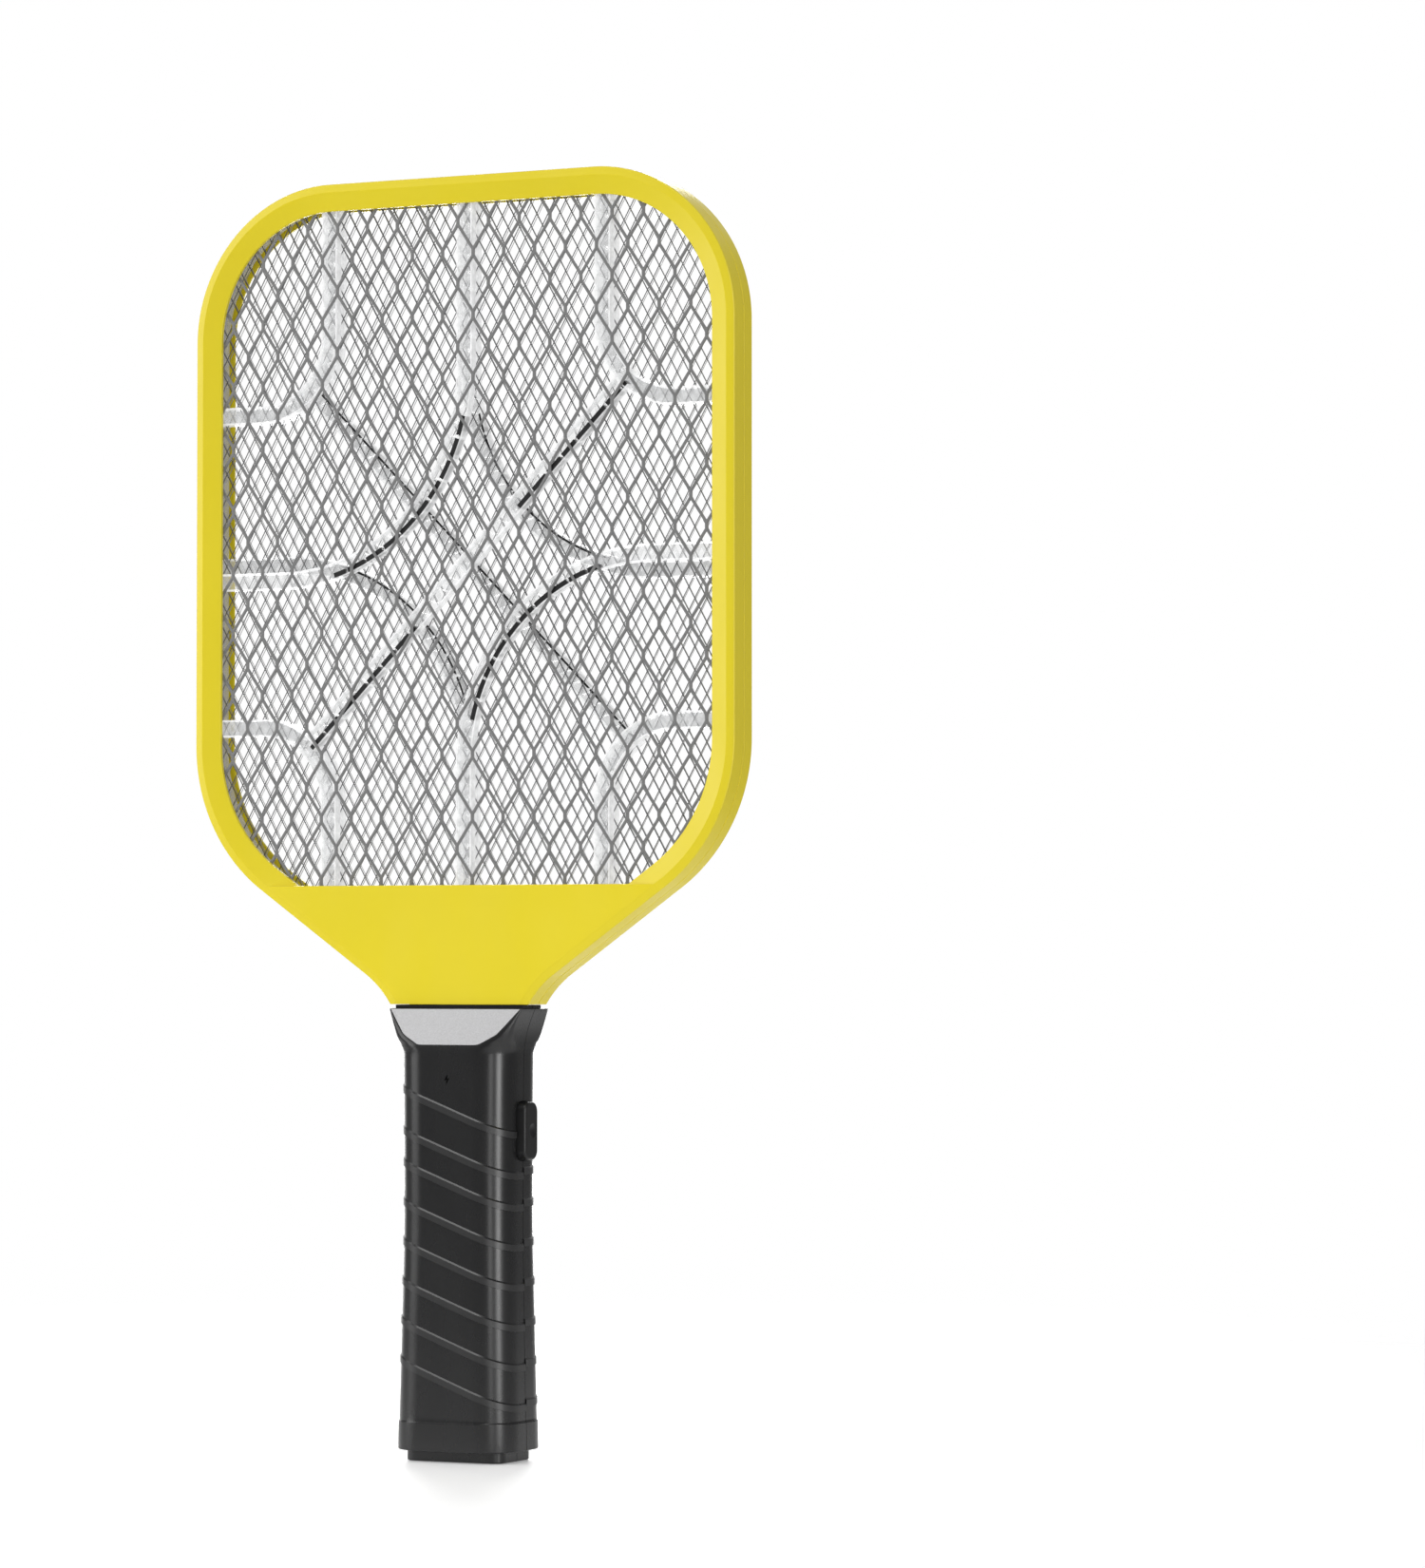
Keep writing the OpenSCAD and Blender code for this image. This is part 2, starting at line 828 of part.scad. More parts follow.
module switch_plunger() {
  color([0.75, 0.7, 0.6])
    translate([10.4, 0, button_z])
      rotate([0, 90, 0])
        cylinder(h = bore_half_w - 1.8 - 10.4, r = 1.6);
}

module circuit_board() {
  color([0.1, 0.35, 0.2])
    difference() {
      box([-board_half_w, board_y, board_z0], [board_half_w, board_y + board_t, board_z1]);
      for (x = [-11, 11], z = [89, 127])
        bar_y(x, z, board_y - 1, board_y + 3, 0.8);
    }
}

module transformer_core() {
  color([0.25, 0.25, 0.27])
    difference() {
      box([-14, -4.9, 100], [0, 0.1, 113]);
      for (x = [-11.8, -4.8])
        box([x, -6, 102.5], [x + 2.6, 1, 110.5]);
    }
}

module transformer_winding() {
  color([0.75, 0.45, 0.15])
    difference() {
      box([-11.7, -7.4, 102.7], [-2.3, board_y, 110.3]);
      box([-9.2, -4.9, 100], [-4.8, 0.1, 113]);
    }
}

module storage_capacitor() {
  color([0.65, 0.15, 0.1]) {
    box([-13, -5.5, 86], [-1, 1, 97]);
    for (x = [-11.5, -2.5])
      bar_y(x, 91.5, 0.9, board_y, 0.35);
  }
}

// A small round body lying along X, on two bent legs
module leaded_part(x, z, len, r) {
  y = board_y - 1.2 - r;
  translate([x - len / 2, y, z])
    rotate([0, 90, 0])
      cylinder(h = len, r = r);
  translate([x - len / 2 - 1.5, y, z])
    rotate([0, 90, 0])
      cylinder(h = len + 3, r = 0.3);
  for (s = [-1, 1])
    bar_y(x + s * (len / 2 + 1.2), z, y + 0.1, board_y, 0.26);
}

module rectifier_diodes() {
  color([0.12, 0.12, 0.12])
    for (z = [88, 92.5, 97])
      leaded_part(7, z, 5, 1.3);
}

module discharge_resistors() {
  color([0.6, 0.75, 0.8])
    for (z = [118, 122])
      leaded_part(-8, z, 6, 1.1);
}

module driver_transistor() {
  color([0.1, 0.1, 0.1]) {
    difference() {
      bar_y(9, 120, -4.5, 0, 2.3);
      box([5, -6, 121.3], [13, 1, 125]);
    }
    for (x = [7.7, 9, 10.3])
      bar_y(x, 120, -0.1, board_y, 0.25);
  }
}

// ---- Batteries and contacts ----

// An AA cell standing on z, its raised end up or down
module cell(x, z, up) {
  translate([x, cell_y, z]) {
    translate([0, 0, up ? 0 : 1])
      cylinder(h = cell_len, r = cell_d / 2);
    translate([0, 0, up ? cell_len - 0.1 : 0])
      cylinder(h = 1.1, r = 2.7);
  }
}

module battery_left() {
  color([0.15, 0.4, 0.2])
    cell(-cell_x, bay_z0 + plate_t + spring_len, true);
}

module battery_right() {
  color([0.15, 0.4, 0.2])
    cell(cell_x, bay_z1 - plate_t - spring_len - cell_len - 1, false);
}

// A conical wire coil: rings of points along a rising, narrowing helix
module coil(height) {
  steps = 48;
  ring = 6;
  wire = 0.4;
  turns = 3.5;
  points = [
    for (i = [0:steps])
      let (
        t = i / steps,
        a = 360 * turns * t,
        r = 4.8 - 1.8 * t,
        z = wire + (height - 2 * wire) * t
      )
      for (k = [0:ring - 1])
        let (b = 360 * k / ring + 30)
        [(r + wire * cos(b)) * cos(a), (r + wire * cos(b)) * sin(a), z + wire * sin(b)]
  ];
  sides = [
    for (i = [0:steps - 1], k = [0:ring - 1])
      let (a = i * ring + k, b = i * ring + (k + 1) % ring)
      each [[a, b, a + ring], [b, b + ring, a + ring]]
  ];
  first = [[for (k = [0:ring - 1]) ring - 1 - k]];
  last = [[for (k = [0:ring - 1]) steps * ring + k]];
  polyhedron(points = points, faces = concat(first, sides, last));
}

module contact_springs() {
  color([0.8, 0.8, 0.82]) {
    translate([-cell_x, cell_y, bay_z0 + plate_t])
      coil(spring_len);
    translate([cell_x, cell_y, bay_z1 - plate_t])
      mirror([0, 0, 1])
        coil(spring_len);
  }
}

// A contact plate from x0 to x1, standing on z
module contact_plate(x0, x1, z) {
  box([x0, -1.5, z], [x1, 9.8, z + plate_t]);
}

module link_contact() {
  bump_top = bay_z1 - plate_t - spring_len - cell_len - 1;
  color([0.8, 0.8, 0.82]) {
    contact_plate(-14, 14, bay_z0);
    translate([cell_x, cell_y, bay_z0 + plate_t - 0.1])
      cylinder(h = bump_top - bay_z0 - plate_t + 0.1, r = 2.4);
  }
}

module positive_contact() {
  bump_low = bay_z0 + plate_t + spring_len + cell_len + 1;
  color([0.8, 0.8, 0.82]) {
    contact_plate(-14, -1, bay_z1 - plate_t);
    translate([-cell_x, cell_y, bump_low])
      cylinder(h = bay_z1 - plate_t - bump_low + 0.1, r = 2.4);
  }
}

module negative_contact() {
  color([0.8, 0.8, 0.82])
    contact_plate(1, 14, bay_z1 - plate_t);
}

// A lead: round bars with ball joints through a list of points
module lead(path, r) {
  for (i = [0:len(path) - 2]) {
    d = path[i + 1] - path[i];
    run = norm(d);
    translate(path[i])
      rotate([0, acos(d[2] / run), atan2(d[1], d[0])])
        cylinder(h = run, r = r, $fn = 24);
  }
  for (i = [1:len(path) - 2])
    translate(path[i])
      sphere(r + 0.03, $fn = 24);
}

module battery_wires() {
  color([0.7, 0.1, 0.1])
    for (s = [-1, 1])
      lead([[s * lead_x, lead_y, bay_z1], [s * lead_x, lead_y, 75], [s * 4, 2.3, 86]], 0.65);
}

module mesh_wires() {
  color([0.7, 0.1, 0.1]) {
    lead([[-5.5, 2.3, 126], [-5.5, 1, 134], [-7, -2, 158], [-16, -3.6, 176], [-16, -4.3, 185]], 0.6);
    lead([[5.5, 2.3, 126], [5.5, 1, 134], [6, -0.4, 158], [15.6, -0.4, 176], [15.6, -0.4, 185]], 0.6);
    lead([[2.4, 2.3, 128], [2.4, 1, 134], [2.4, 1.5, 158], [1.5, 3.1, 176], [1.5, 3.4, 185]], 0.6);
  }
}

// ---- Assembly ----

front_frame();
rear_frame();
front_guard_mesh();
high_voltage_mesh();
rear_guard_mesh();
front_spacer();
rear_spacer();
frame_screws();
front_handle_shell();
rear_handle_shell();
handle_screws();
trim_plate();
indicator_lens();
indicator_led();
zap_button();
switch_body();
switch_plunger();
circuit_board();
transformer_core();
transformer_winding();
storage_capacitor();
rectifier_diodes();
discharge_resistors();
driver_transistor();
battery_left();
battery_right();
contact_springs();
link_contact();
positive_contact();
negative_contact();
battery_wires();
mesh_wires();
battery_door();
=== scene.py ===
"""Looks of the electric fly swatter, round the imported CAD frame. Shapes are worked out in millimetres."""

import math

import bmesh
import bpy
from mathutils import Matrix, Vector


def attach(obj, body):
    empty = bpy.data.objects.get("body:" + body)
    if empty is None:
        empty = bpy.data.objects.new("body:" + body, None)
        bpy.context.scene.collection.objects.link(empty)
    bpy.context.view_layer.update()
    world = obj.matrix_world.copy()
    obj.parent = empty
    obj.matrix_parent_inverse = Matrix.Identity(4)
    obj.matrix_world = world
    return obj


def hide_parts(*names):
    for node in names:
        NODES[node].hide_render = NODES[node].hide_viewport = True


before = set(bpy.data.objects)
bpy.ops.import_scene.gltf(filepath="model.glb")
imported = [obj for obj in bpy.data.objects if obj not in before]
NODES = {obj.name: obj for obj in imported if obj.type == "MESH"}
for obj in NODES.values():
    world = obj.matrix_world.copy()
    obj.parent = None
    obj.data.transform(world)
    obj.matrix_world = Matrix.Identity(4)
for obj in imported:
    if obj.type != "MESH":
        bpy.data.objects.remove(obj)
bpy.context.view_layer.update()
MM = 0.001
# Points closer than this, in metres, are joined.
WELD = 0.000002

# ---- Sizes, in millimetres ----

# Head: outline, ring section, neck plug and screws. A name ending in _X, _Y or _Z is a place.
TOTAL_H = 430.0
HEAD_HALF_W = 102.3
TOP_R = 52.0
LOW_R = 60.0
LOW_Z = 240.0
FLANK = math.radians(35)
TURN = math.radians(55)
NECK_R = 35.0
NECK_Z = 152.1
OPENING_Z = 192.0
RING_W = 9.0
BEVEL_W = 2.8
STACK_INSET = 2.3
STACK_Z = 185.0
GAP = 0.12
SHELL_W = 2.0
FRONT_SEAT_Y = -4.7
REAR_SEAT_Y = 3.7
PLUG_W = 38.0
PLUG_D = 13.0
PLUG_FOOT_Z = 134.0
PLUG_BORE_W = 34.4
PLUG_BORE_D = 9.4
SHELF_HALF_W = 25.0
SHELF_TOP_Z = NECK_Z + 1.5
LEDGE_FOOT_Z = 182.6
LEDGE_TOP_Z = 184.7
FRAME_SCREWS = [(-38, 174.5), (38, 174.5), (-15, 163), (15, 163)]
PLUG_SCREWS = [(-12, 142.6), (12, 142.6)]
LOW_SCREWS = [(-12.5, 77), (12.5, 77)]
SCREW_R = 1.6
SCREW_HEAD_R = 2.9

# Centres and meeting points of the outline's arcs.
LOW_X = HEAD_HALF_W - LOW_R
TOP_X = HEAD_HALF_W - TOP_R
TOP_Z = TOTAL_H - TOP_R
FLANK_X = LOW_X + LOW_R * math.cos(TURN)
FLANK_Z = LOW_Z - LOW_R * math.sin(TURN)
NECK_X = 20.9 + NECK_R
NECK_CZ = FLANK_Z - (FLANK_X - NECK_X + NECK_R * math.cos(TURN)) * math.tan(FLANK) - NECK_R * math.sin(TURN)

# Mesh stack: the front guard's cells, the fine meshes' cells and the spacers' ribs.
PITCH_X = 11.62
PITCH_Z = 21.08
BOND_X = -71.9
BOND_Z = 330.6
STRAND = 0.95
BOND_W = 1.15
BOND_H = 1.9
MESH_T = 0.6
MESH_RIM = 2.5
FRONT_GUARD_Y = -4.4
LIVE_Y = -0.5
REAR_GUARD_Y = 3.4
LIVE_X = 4.3575
LIVE_Z = 7.905
WIRE_R = 0.19
REAR_WIRE_R = 0.13
WIRE_Z = 307.0
LIVE_SHIFTS = (0.28, 3.15)
REAR_SHIFTS = (3.1, 1.61)
RIB_W = 5.8
RIB_WALL = 0.5
RIB_STEP = 2.65
SPACER_T = 3.3
FRONT_SPACER_Y = -4.1
REAR_SPACER_Y = -0.2
SIDE_RIB_X = 52.0
CORNER_R = 26.0
HIGH_RIB_Z = 353.0
LOW_RIB_Z = 246.0
LEFT_RIB_Z = 296.0
RIGHT_RIB_Z = 301.5
LONG_R = 69.5
CROSS_Z = 299.5
CROSS_HALF = 59.7
RIB_END_X = 98.5
RIB_TOP_Z = 426.0
RIB_FOOT_Z = 188.0

# Handle: outline, bands, button, bore and battery bay.
SKIN_FOOT_Z = 3.7
GROOVE_Z = 13.2
GROOVE_TOP_Z = 13.7
STRAIGHT_Z = 135.5
COLLAR_FOOT_Z = 138.4
COLLAR_TOP_Z = 150.8
COLLAR_FOOT_D = 15.1
COLLAR_TOP_D = 9.6
COLLAR_TILT = math.atan((COLLAR_FOOT_D - COLLAR_TOP_D) / (COLLAR_TOP_Z - COLLAR_FOOT_Z))
# Height, half width, half depth and corner radius.
SECTIONS = [
    (SKIN_FOOT_Z, 22.1, 16.9, 11.3),
    (GROOVE_Z, 22.0, 16.8, 11.3),
    (GROOVE_TOP_Z, 21.75, 16.55, 11.3),
    (45.0, 21.15, 16.0, 11.3),
    (85.0, 20.6, 15.4, 11.3),
    (STRAIGHT_Z, 20.9, 15.4, 11.3),
    (COLLAR_FOOT_Z, 21.25, COLLAR_FOOT_D, 9.6),
    (141.0, 21.7, 13.95, 5.4),
    (144.0, 22.45, 12.62, 2.8),
    (147.4, 23.7, 11.11, 1.2),
    (COLLAR_TOP_Z, 25.2, COLLAR_TOP_D, 0.5),
]
BAND_TOPS = [27.9 + 13.2 * i for i in range(6)] + [104.5, 118.2]
BAND_H = 2.7
BAND_CHAMFER = 0.55
BAND_OUT = 0.35
BAND_SLOPE = math.tan(math.radians(21))
REAR_LIFT = 1.5
ICON_Z = 127.2
BUTTON_Z = 110.0
BUTTON_W = 9.2
BUTTON_LEN = 19.4
BUTTON_FACE_X = 23.9
DISH_R = 5.4
DISH_ANGLE = math.radians(28)
BORE_HALF_W = 18.3
BORE_HALF_D = 13.1
BORE_R = 9.0
BAY_Z0 = 10.0
BAY_Z1 = 70.4
BAY_WALL = 1.6
BAY_HALF_W = 17.8
BAY_FLOOR_Y = -4.9
DOOR_Z0 = 14.4
DOOR_Z1 = 67.6
DOOR_HALF_W = 14.7
HOOK_X = 7.0


# ---- Materials ----


def node_material(name, color, rough, **sockets):
    """A Principled material. Returns the material, its node tree and its shader."""
    mat = bpy.data.materials.new(name)
    mat.use_nodes = True
    tree = mat.node_tree
    shader = tree.nodes["Principled BSDF"]
    shader.inputs["Base Color"].default_value = (*color, 1)
    shader.inputs["Roughness"].default_value = rough
    for key, value in sockets.items():
        shader.inputs[key.replace("_", " ")].default_value = value
    return mat, tree, shader


def noise(tree, scale, detail=3.0, rough=0.5, stretch=None):
    """A noise texture in object space, in cells per metre, stretched along an axis if asked."""
    coord = tree.nodes.new("ShaderNodeTexCoord")
    source = coord.outputs["Object"]
    if stretch:
        mapping = tree.nodes.new("ShaderNodeMapping")
        mapping.inputs["Scale"].default_value = stretch
        tree.links.new(source, mapping.inputs["Vector"])
        source = mapping.outputs["Vector"]
    tex = tree.nodes.new("ShaderNodeTexNoise")
    tex.inputs["Scale"].default_value = scale
    tex.inputs["Detail"].default_value = detail
    tex.inputs["Roughness"].default_value = rough
    tree.links.new(source, tex.inputs["Vector"])
    return tex.outputs["Fac"]


def spread(tree, fac, low, high):
    """Maps a 0.3 to 0.7 noise value to low to high."""
    node = tree.nodes.new("ShaderNodeMapRange")
    node.inputs["From Min"].default_value = 0.3
    node.inputs["From Max"].default_value = 0.7
    node.inputs["To Min"].default_value = low
    node.inputs["To Max"].default_value = high
    tree.links.new(fac, node.inputs["Value"])
    return node.outputs["Result"]


def vary_color(tree, shader, fac, dark, light):
    """Base colour between two close shades."""
    mix = tree.nodes.new("ShaderNodeMix")
    mix.data_type = "RGBA"
    mix.inputs["A"].default_value = (*dark, 1)
    mix.inputs["B"].default_value = (*light, 1)
    tree.links.new(spread(tree, fac, 0, 1), mix.inputs["Factor"])
    tree.links.new(mix.outputs["Result"], shader.inputs["Base Color"])


def add_bump(tree, shader, height, strength, distance):
    """Bump from a height value, with its depth in metres."""
    bump = tree.nodes.new("ShaderNodeBump")
    bump.inputs["Strength"].default_value = strength
    bump.inputs["Distance"].default_value = distance
    tree.links.new(height, bump.inputs["Height"])
    tree.links.new(bump.outputs["Normal"], shader.inputs["Normal"])


def moulded(name, color, rough, swing=0.06, grain=2600, depth=0.00003, tint=0.06, **sockets):
    """Moulded plastic: a fine grain, faint flow marks in the gloss and a slight drift in the colour."""
    mat, tree, shader = node_material(name, color, rough, **sockets)
    drift = noise(tree, 14, 2)
    vary_color(
        tree, shader, drift, [c * (1 - tint) for c in color], [min(1, c * (1 + tint)) for c in color]
    )
    flow = noise(tree, 90, 4, 0.6, (1, 1, 0.35))
    tree.links.new(spread(tree, flow, rough - swing, rough + swing), shader.inputs["Roughness"])
    add_bump(tree, shader, noise(tree, grain, 2), 0.35, depth)
    return mat


def metal(name, color, rough, swing=0.08, scale=900, stretch=(1, 1, 1), depth=0.00002, metallic=1.0):
    """Metal with brushing or mill marks in its gloss, colour and relief."""
    mat, tree, shader = node_material(name, color, rough, Metallic=metallic)
    marks = noise(tree, scale, 4, 0.6, stretch)
    vary_color(tree, shader, marks, [c * 0.86 for c in color], [min(1, c * 1.1) for c in color])
    tree.links.new(spread(tree, marks, rough - swing, rough + swing), shader.inputs["Roughness"])
    add_bump(tree, shader, marks, 0.4, depth)
    return mat


def clear(name, color, rough, alpha, painted_glow):
    """Clear polycarbonate with a faintly rippled surface, thin enough to see straight through, and a painted
    white glow that lightens it.
    """
    white = (1, 1, 1, 1)
    mat, tree, shader = node_material(
        name, color, rough, IOR=1.5, Alpha=alpha, Emission_Color=white, Emission_Strength=painted_glow
    )
    ripple = noise(tree, 420, 3, 0.6)
    vary_color(tree, shader, ripple, [c * 0.6 for c in color], color)
    tree.links.new(spread(tree, ripple, rough * 0.5, rough * 1.8), shader.inputs["Roughness"])
    add_bump(tree, shader, ripple, 0.6, 0.0002)
    return mat


YELLOW = moulded("yellow_moulded", (0.83, 0.68, 0.018), 0.36, tint=0.02, Specular_IOR_Level=0.38)
SATIN = {"grain": 3200, "tint": 0.05, "depth": 0.00001}
BLACK = moulded("black_satin", (0.011, 0.011, 0.0115), 0.27, swing=0.025, **SATIN)
BAND = moulded("black_band", (0.024, 0.024, 0.0245), 0.34, swing=0.03, **SATIN)
BUTTON = moulded("button_satin", (0.006, 0.006, 0.0065), 0.42, grain=3600, tint=0.1, Specular_IOR_Level=0.4)
GUARD = metal("guard_coated", (0.225, 0.225, 0.225), 0.5, metallic=0.35, scale=1500)
GUARD_BACK = metal("guard_wire_rear", (0.5, 0.5, 0.5), 0.45, metallic=0.35, scale=1500)
LIVE = metal("live_wire", (0.2, 0.2, 0.205), 0.38, scale=2500)
SILVER = metal("silver_satin", (0.5, 0.5, 0.51), 0.4, swing=0.03, scale=2200, depth=0.000004, metallic=0.6)
# The spacers' glow is painted light that whitens them; the walls' copy glows most, a painted highlight along
# each rib's sides.
CLEAR = clear("clear_spacer", (0.7, 0.71, 0.715), 0.12, 0.2, 0.3)
CLEAR_REAR = clear("clear_spacer_rear", (0.6, 0.61, 0.615), 0.12, 0.36, 0.19)
CLEAR_EDGE = clear("clear_spacer_wall", (0.9, 0.905, 0.91), 0.15, 0.55, 0.36)
# Near-black plastic for strips along some spacer ribs: a painted dark reflection in the ribs' clear walls.
EDGE = moulded("spacer_painted_dark_reflection", (0.006, 0.006, 0.0065), 0.4, grain=1800)
STEEL = metal("zinc_screw", (0.58, 0.58, 0.6), 0.28, scale=1200)
NICKEL = metal("nickel_contact", (0.72, 0.71, 0.68), 0.2, scale=1600)
LENS = moulded("smoked_lens", (0.002, 0.002, 0.002), 0.5, grain=1500, Specular_IOR_Level=0.08)
LED = moulded("led_dome", (0.55, 0.07, 0.05), 0.15, swing=0.05, grain=900, Coat_Weight=0.5)
SWITCH = moulded("switch_case", (0.035, 0.035, 0.04), 0.5)
PLUNGER = moulded("switch_plunger_stem", (0.55, 0.47, 0.35), 0.5)
BOARD = moulded("board_solder_mask", (0.012, 0.11, 0.035), 0.3, grain=700, tint=0.25, Coat_Weight=0.3)
FERRITE = moulded("ferrite_core", (0.035, 0.035, 0.04), 0.7, grain=1400, depth=0.0001, tint=0.25)
WINDING = moulded("winding_tape", (0.6, 0.22, 0.03), 0.35, grain=500, tint=0.15)
CAPACITOR = moulded("capacitor_dip", (0.32, 0.03, 0.015), 0.22, grain=400, depth=0.0001, Coat_Weight=0.4)
DIODE = moulded("diode_case", (0.015, 0.015, 0.015), 0.4)
RESISTOR = moulded("resistor_lacquer", (0.3, 0.5, 0.6), 0.35, tint=0.2)
TRANSISTOR = moulded("transistor_case", (0.012, 0.012, 0.012), 0.45)
CELL = moulded("cell_wrap", (0.02, 0.13, 0.05), 0.25, grain=600, tint=0.15, Coat_Weight=0.3)
SLEEVE = moulded("wire_sleeve", (0.45, 0.015, 0.01), 0.4, tint=0.15)


# ---- Mesh tools ----


def mesh_object(name, verts, faces, material):
    """A closed mesh from points in millimetres, with its faces turned outwards."""
    mesh = bpy.data.meshes.new(name)
    mesh.from_pydata([Vector(v) * MM for v in verts], [], faces)
    bm = bmesh.new()
    bm.from_mesh(mesh)
    bmesh.ops.remove_doubles(bm, verts=bm.verts, dist=WELD)
    bmesh.ops.recalc_face_normals(bm, faces=bm.faces)
    bm.to_mesh(mesh)
    bm.free()
    mesh.materials.append(material)
    obj = bpy.data.objects.new(name, mesh)
    bpy.context.scene.collection.objects.link(obj)
    return obj


def smooth(obj, degrees=32):
    """Smooth shading that stays crisp at edges sharper than this, flat faces keeping their normals."""
    mesh = obj.data
    bm = bmesh.new()
    bm.from_mesh(mesh)
    limit = math.radians(degrees)
    for f in bm.faces:
        f.smooth = True
    for e in bm.edges:
        e.smooth = len(e.link_faces) == 2 and e.calc_face_angle(0) < limit
    bm.to_mesh(mesh)
    bm.free()
    weighted = obj.modifiers.new("weighted", "WEIGHTED_NORMAL")
    weighted.keep_sharp = True
    return obj


def combine(base, tool, operation):
    """Joins tool to base or cuts it away, and removes the tool."""
    mod = base.modifiers.new("bool", "BOOLEAN")
    mod.operation = operation
    mod.solver = "EXACT"
    mod.object = tool
    graph = bpy.context.evaluated_depsgraph_get()
    result = bpy.data.meshes.new_from_object(base.evaluated_get(graph))
    base.modifiers.clear()
    old = base.data
    base.data = result
    bpy.data.meshes.remove(old)
    bpy.data.objects.remove(tool)
    return base


def cut(base, *tools):
    """Cuts every tool away from base."""
    for tool in tools:
        combine(base, tool, "DIFFERENCE")
    return base


def join(base, *tools):
    """Joins every tool to base."""
    for tool in tools:
        combine(base, tool, "UNION")
    return base


def merge(name, objects):
    """One object from several separate closed solids, each keeping its materials."""
    bm = bmesh.new()
    mesh = bpy.data.meshes.new(name)
    for o in objects:
        for material in o.data.materials:
            if material.name not in mesh.materials:
                mesh.materials.append(material)
        slots = [mesh.materials.find(material.name) for material in o.data.materials]
        before = len(bm.faces)
        bm.from_mesh(o.data)
        bm.faces.ensure_lookup_table()
        for face in bm.faces[before:]:
            face.material_index = slots[face.material_index]
    bm.to_mesh(mesh)
    bm.free()
    for o in objects:
        bpy.data.objects.remove(o)
    obj = bpy.data.objects.new(name, mesh)
    bpy.context.scene.collection.objects.link(obj)
    return obj


def loft(name, rings, material):
    """A closed solid through rings of points, with flat ends."""
    count = len(rings[0])
    verts = [p for ring in rings for p in ring]
    faces = []
    for i in range(len(rings) - 1):
        for k in range(count):
            a, b = i * count + k, i * count + (k + 1) % count
            faces.append((a, b, b + count, a + count))
    faces.append(tuple(range(count)))
    faces.append(tuple((len(rings) - 1) * count + k for k in reversed(range(count))))
    return mesh_object(name, verts, faces, material)


def box(name, low, high, material=None):
    """A block between two opposite corners."""
    ring = [(low[0], low[1]), (high[0], low[1]), (high[0], high[1]), (low[0], high[1])]
    rings = [[(x, y, z) for x, y in ring] for z in (low[2], high[2])]
    return loft(name, rings, material or BLACK)


def rod(name, start, end, r, sides=24, material=None):
    """A straight round bar between two points."""
    a, b = Vector(start), Vector(end)
    axis = (b - a).normalized()
    side = axis.orthogonal().normalized()
    other = axis.cross(side)
    turns = [2 * math.pi * k / sides for k in range(sides)]
    rings = [[c + side * r * math.cos(t) + other * r * math.sin(t) for t in turns] for c in (a, b)]
    return loft(name, rings, material or BLACK)


def fillet(points, radii, steps=4):
    """A closed outline with its corners rounded."""
    out = []
    count = len(points)
    for i, (p, r) in enumerate(zip(points, radii)):
        if not r:
            out.append(p)
            continue
        p0, p1, p2 = (Vector(points[j % count]).to_2d() for j in (i - 1, i, i + 1))
        d0, d1 = (p0 - p1).normalized(), (p2 - p1).normalized()
        half = d0.angle(d1) / 2
        reach = r / math.tan(half)
        centre = p1 + (d0 + d1).normalized() * r / math.sin(half)
        a, b = p1 + d0 * reach - centre, p1 + d1 * reach - centre
        swing = a.angle_signed(b)
        for k in range(steps + 1):
            t = -swing * k / steps
            out.append(
                (
                    centre.x + a.x * math.cos(t) - a.y * math.sin(t),
                    centre.y + a.x * math.sin(t) + a.y * math.cos(t),
                )
            )
    return out


def corner_arcs(half_w, half_h, r, reach, steps):
    """A rectangle's four round corners, anticlockwise, with centres set by r and arcs of radius reach."""
    arcs = []
    for q, (sx, sy) in enumerate(((1, 1), (-1, 1), (-1, -1), (1, -1))):
        turns = [math.pi / 2 * (q + k / steps) for k in range(steps + 1)]
        cx, cy = sx * (half_w - r), sy * (half_h - r)
        arcs.append([(cx + reach * math.cos(a), cy + reach * math.sin(a)) for a in turns])
    return arcs


def round_rect(half_w, half_h, r, steps=8):
    """Points of a rectangle with round corners, from the right side anticlockwise."""
    return [p for corner in corner_arcs(half_w, half_h, r, r, steps) for p in corner]


# ---- The head's outline ----


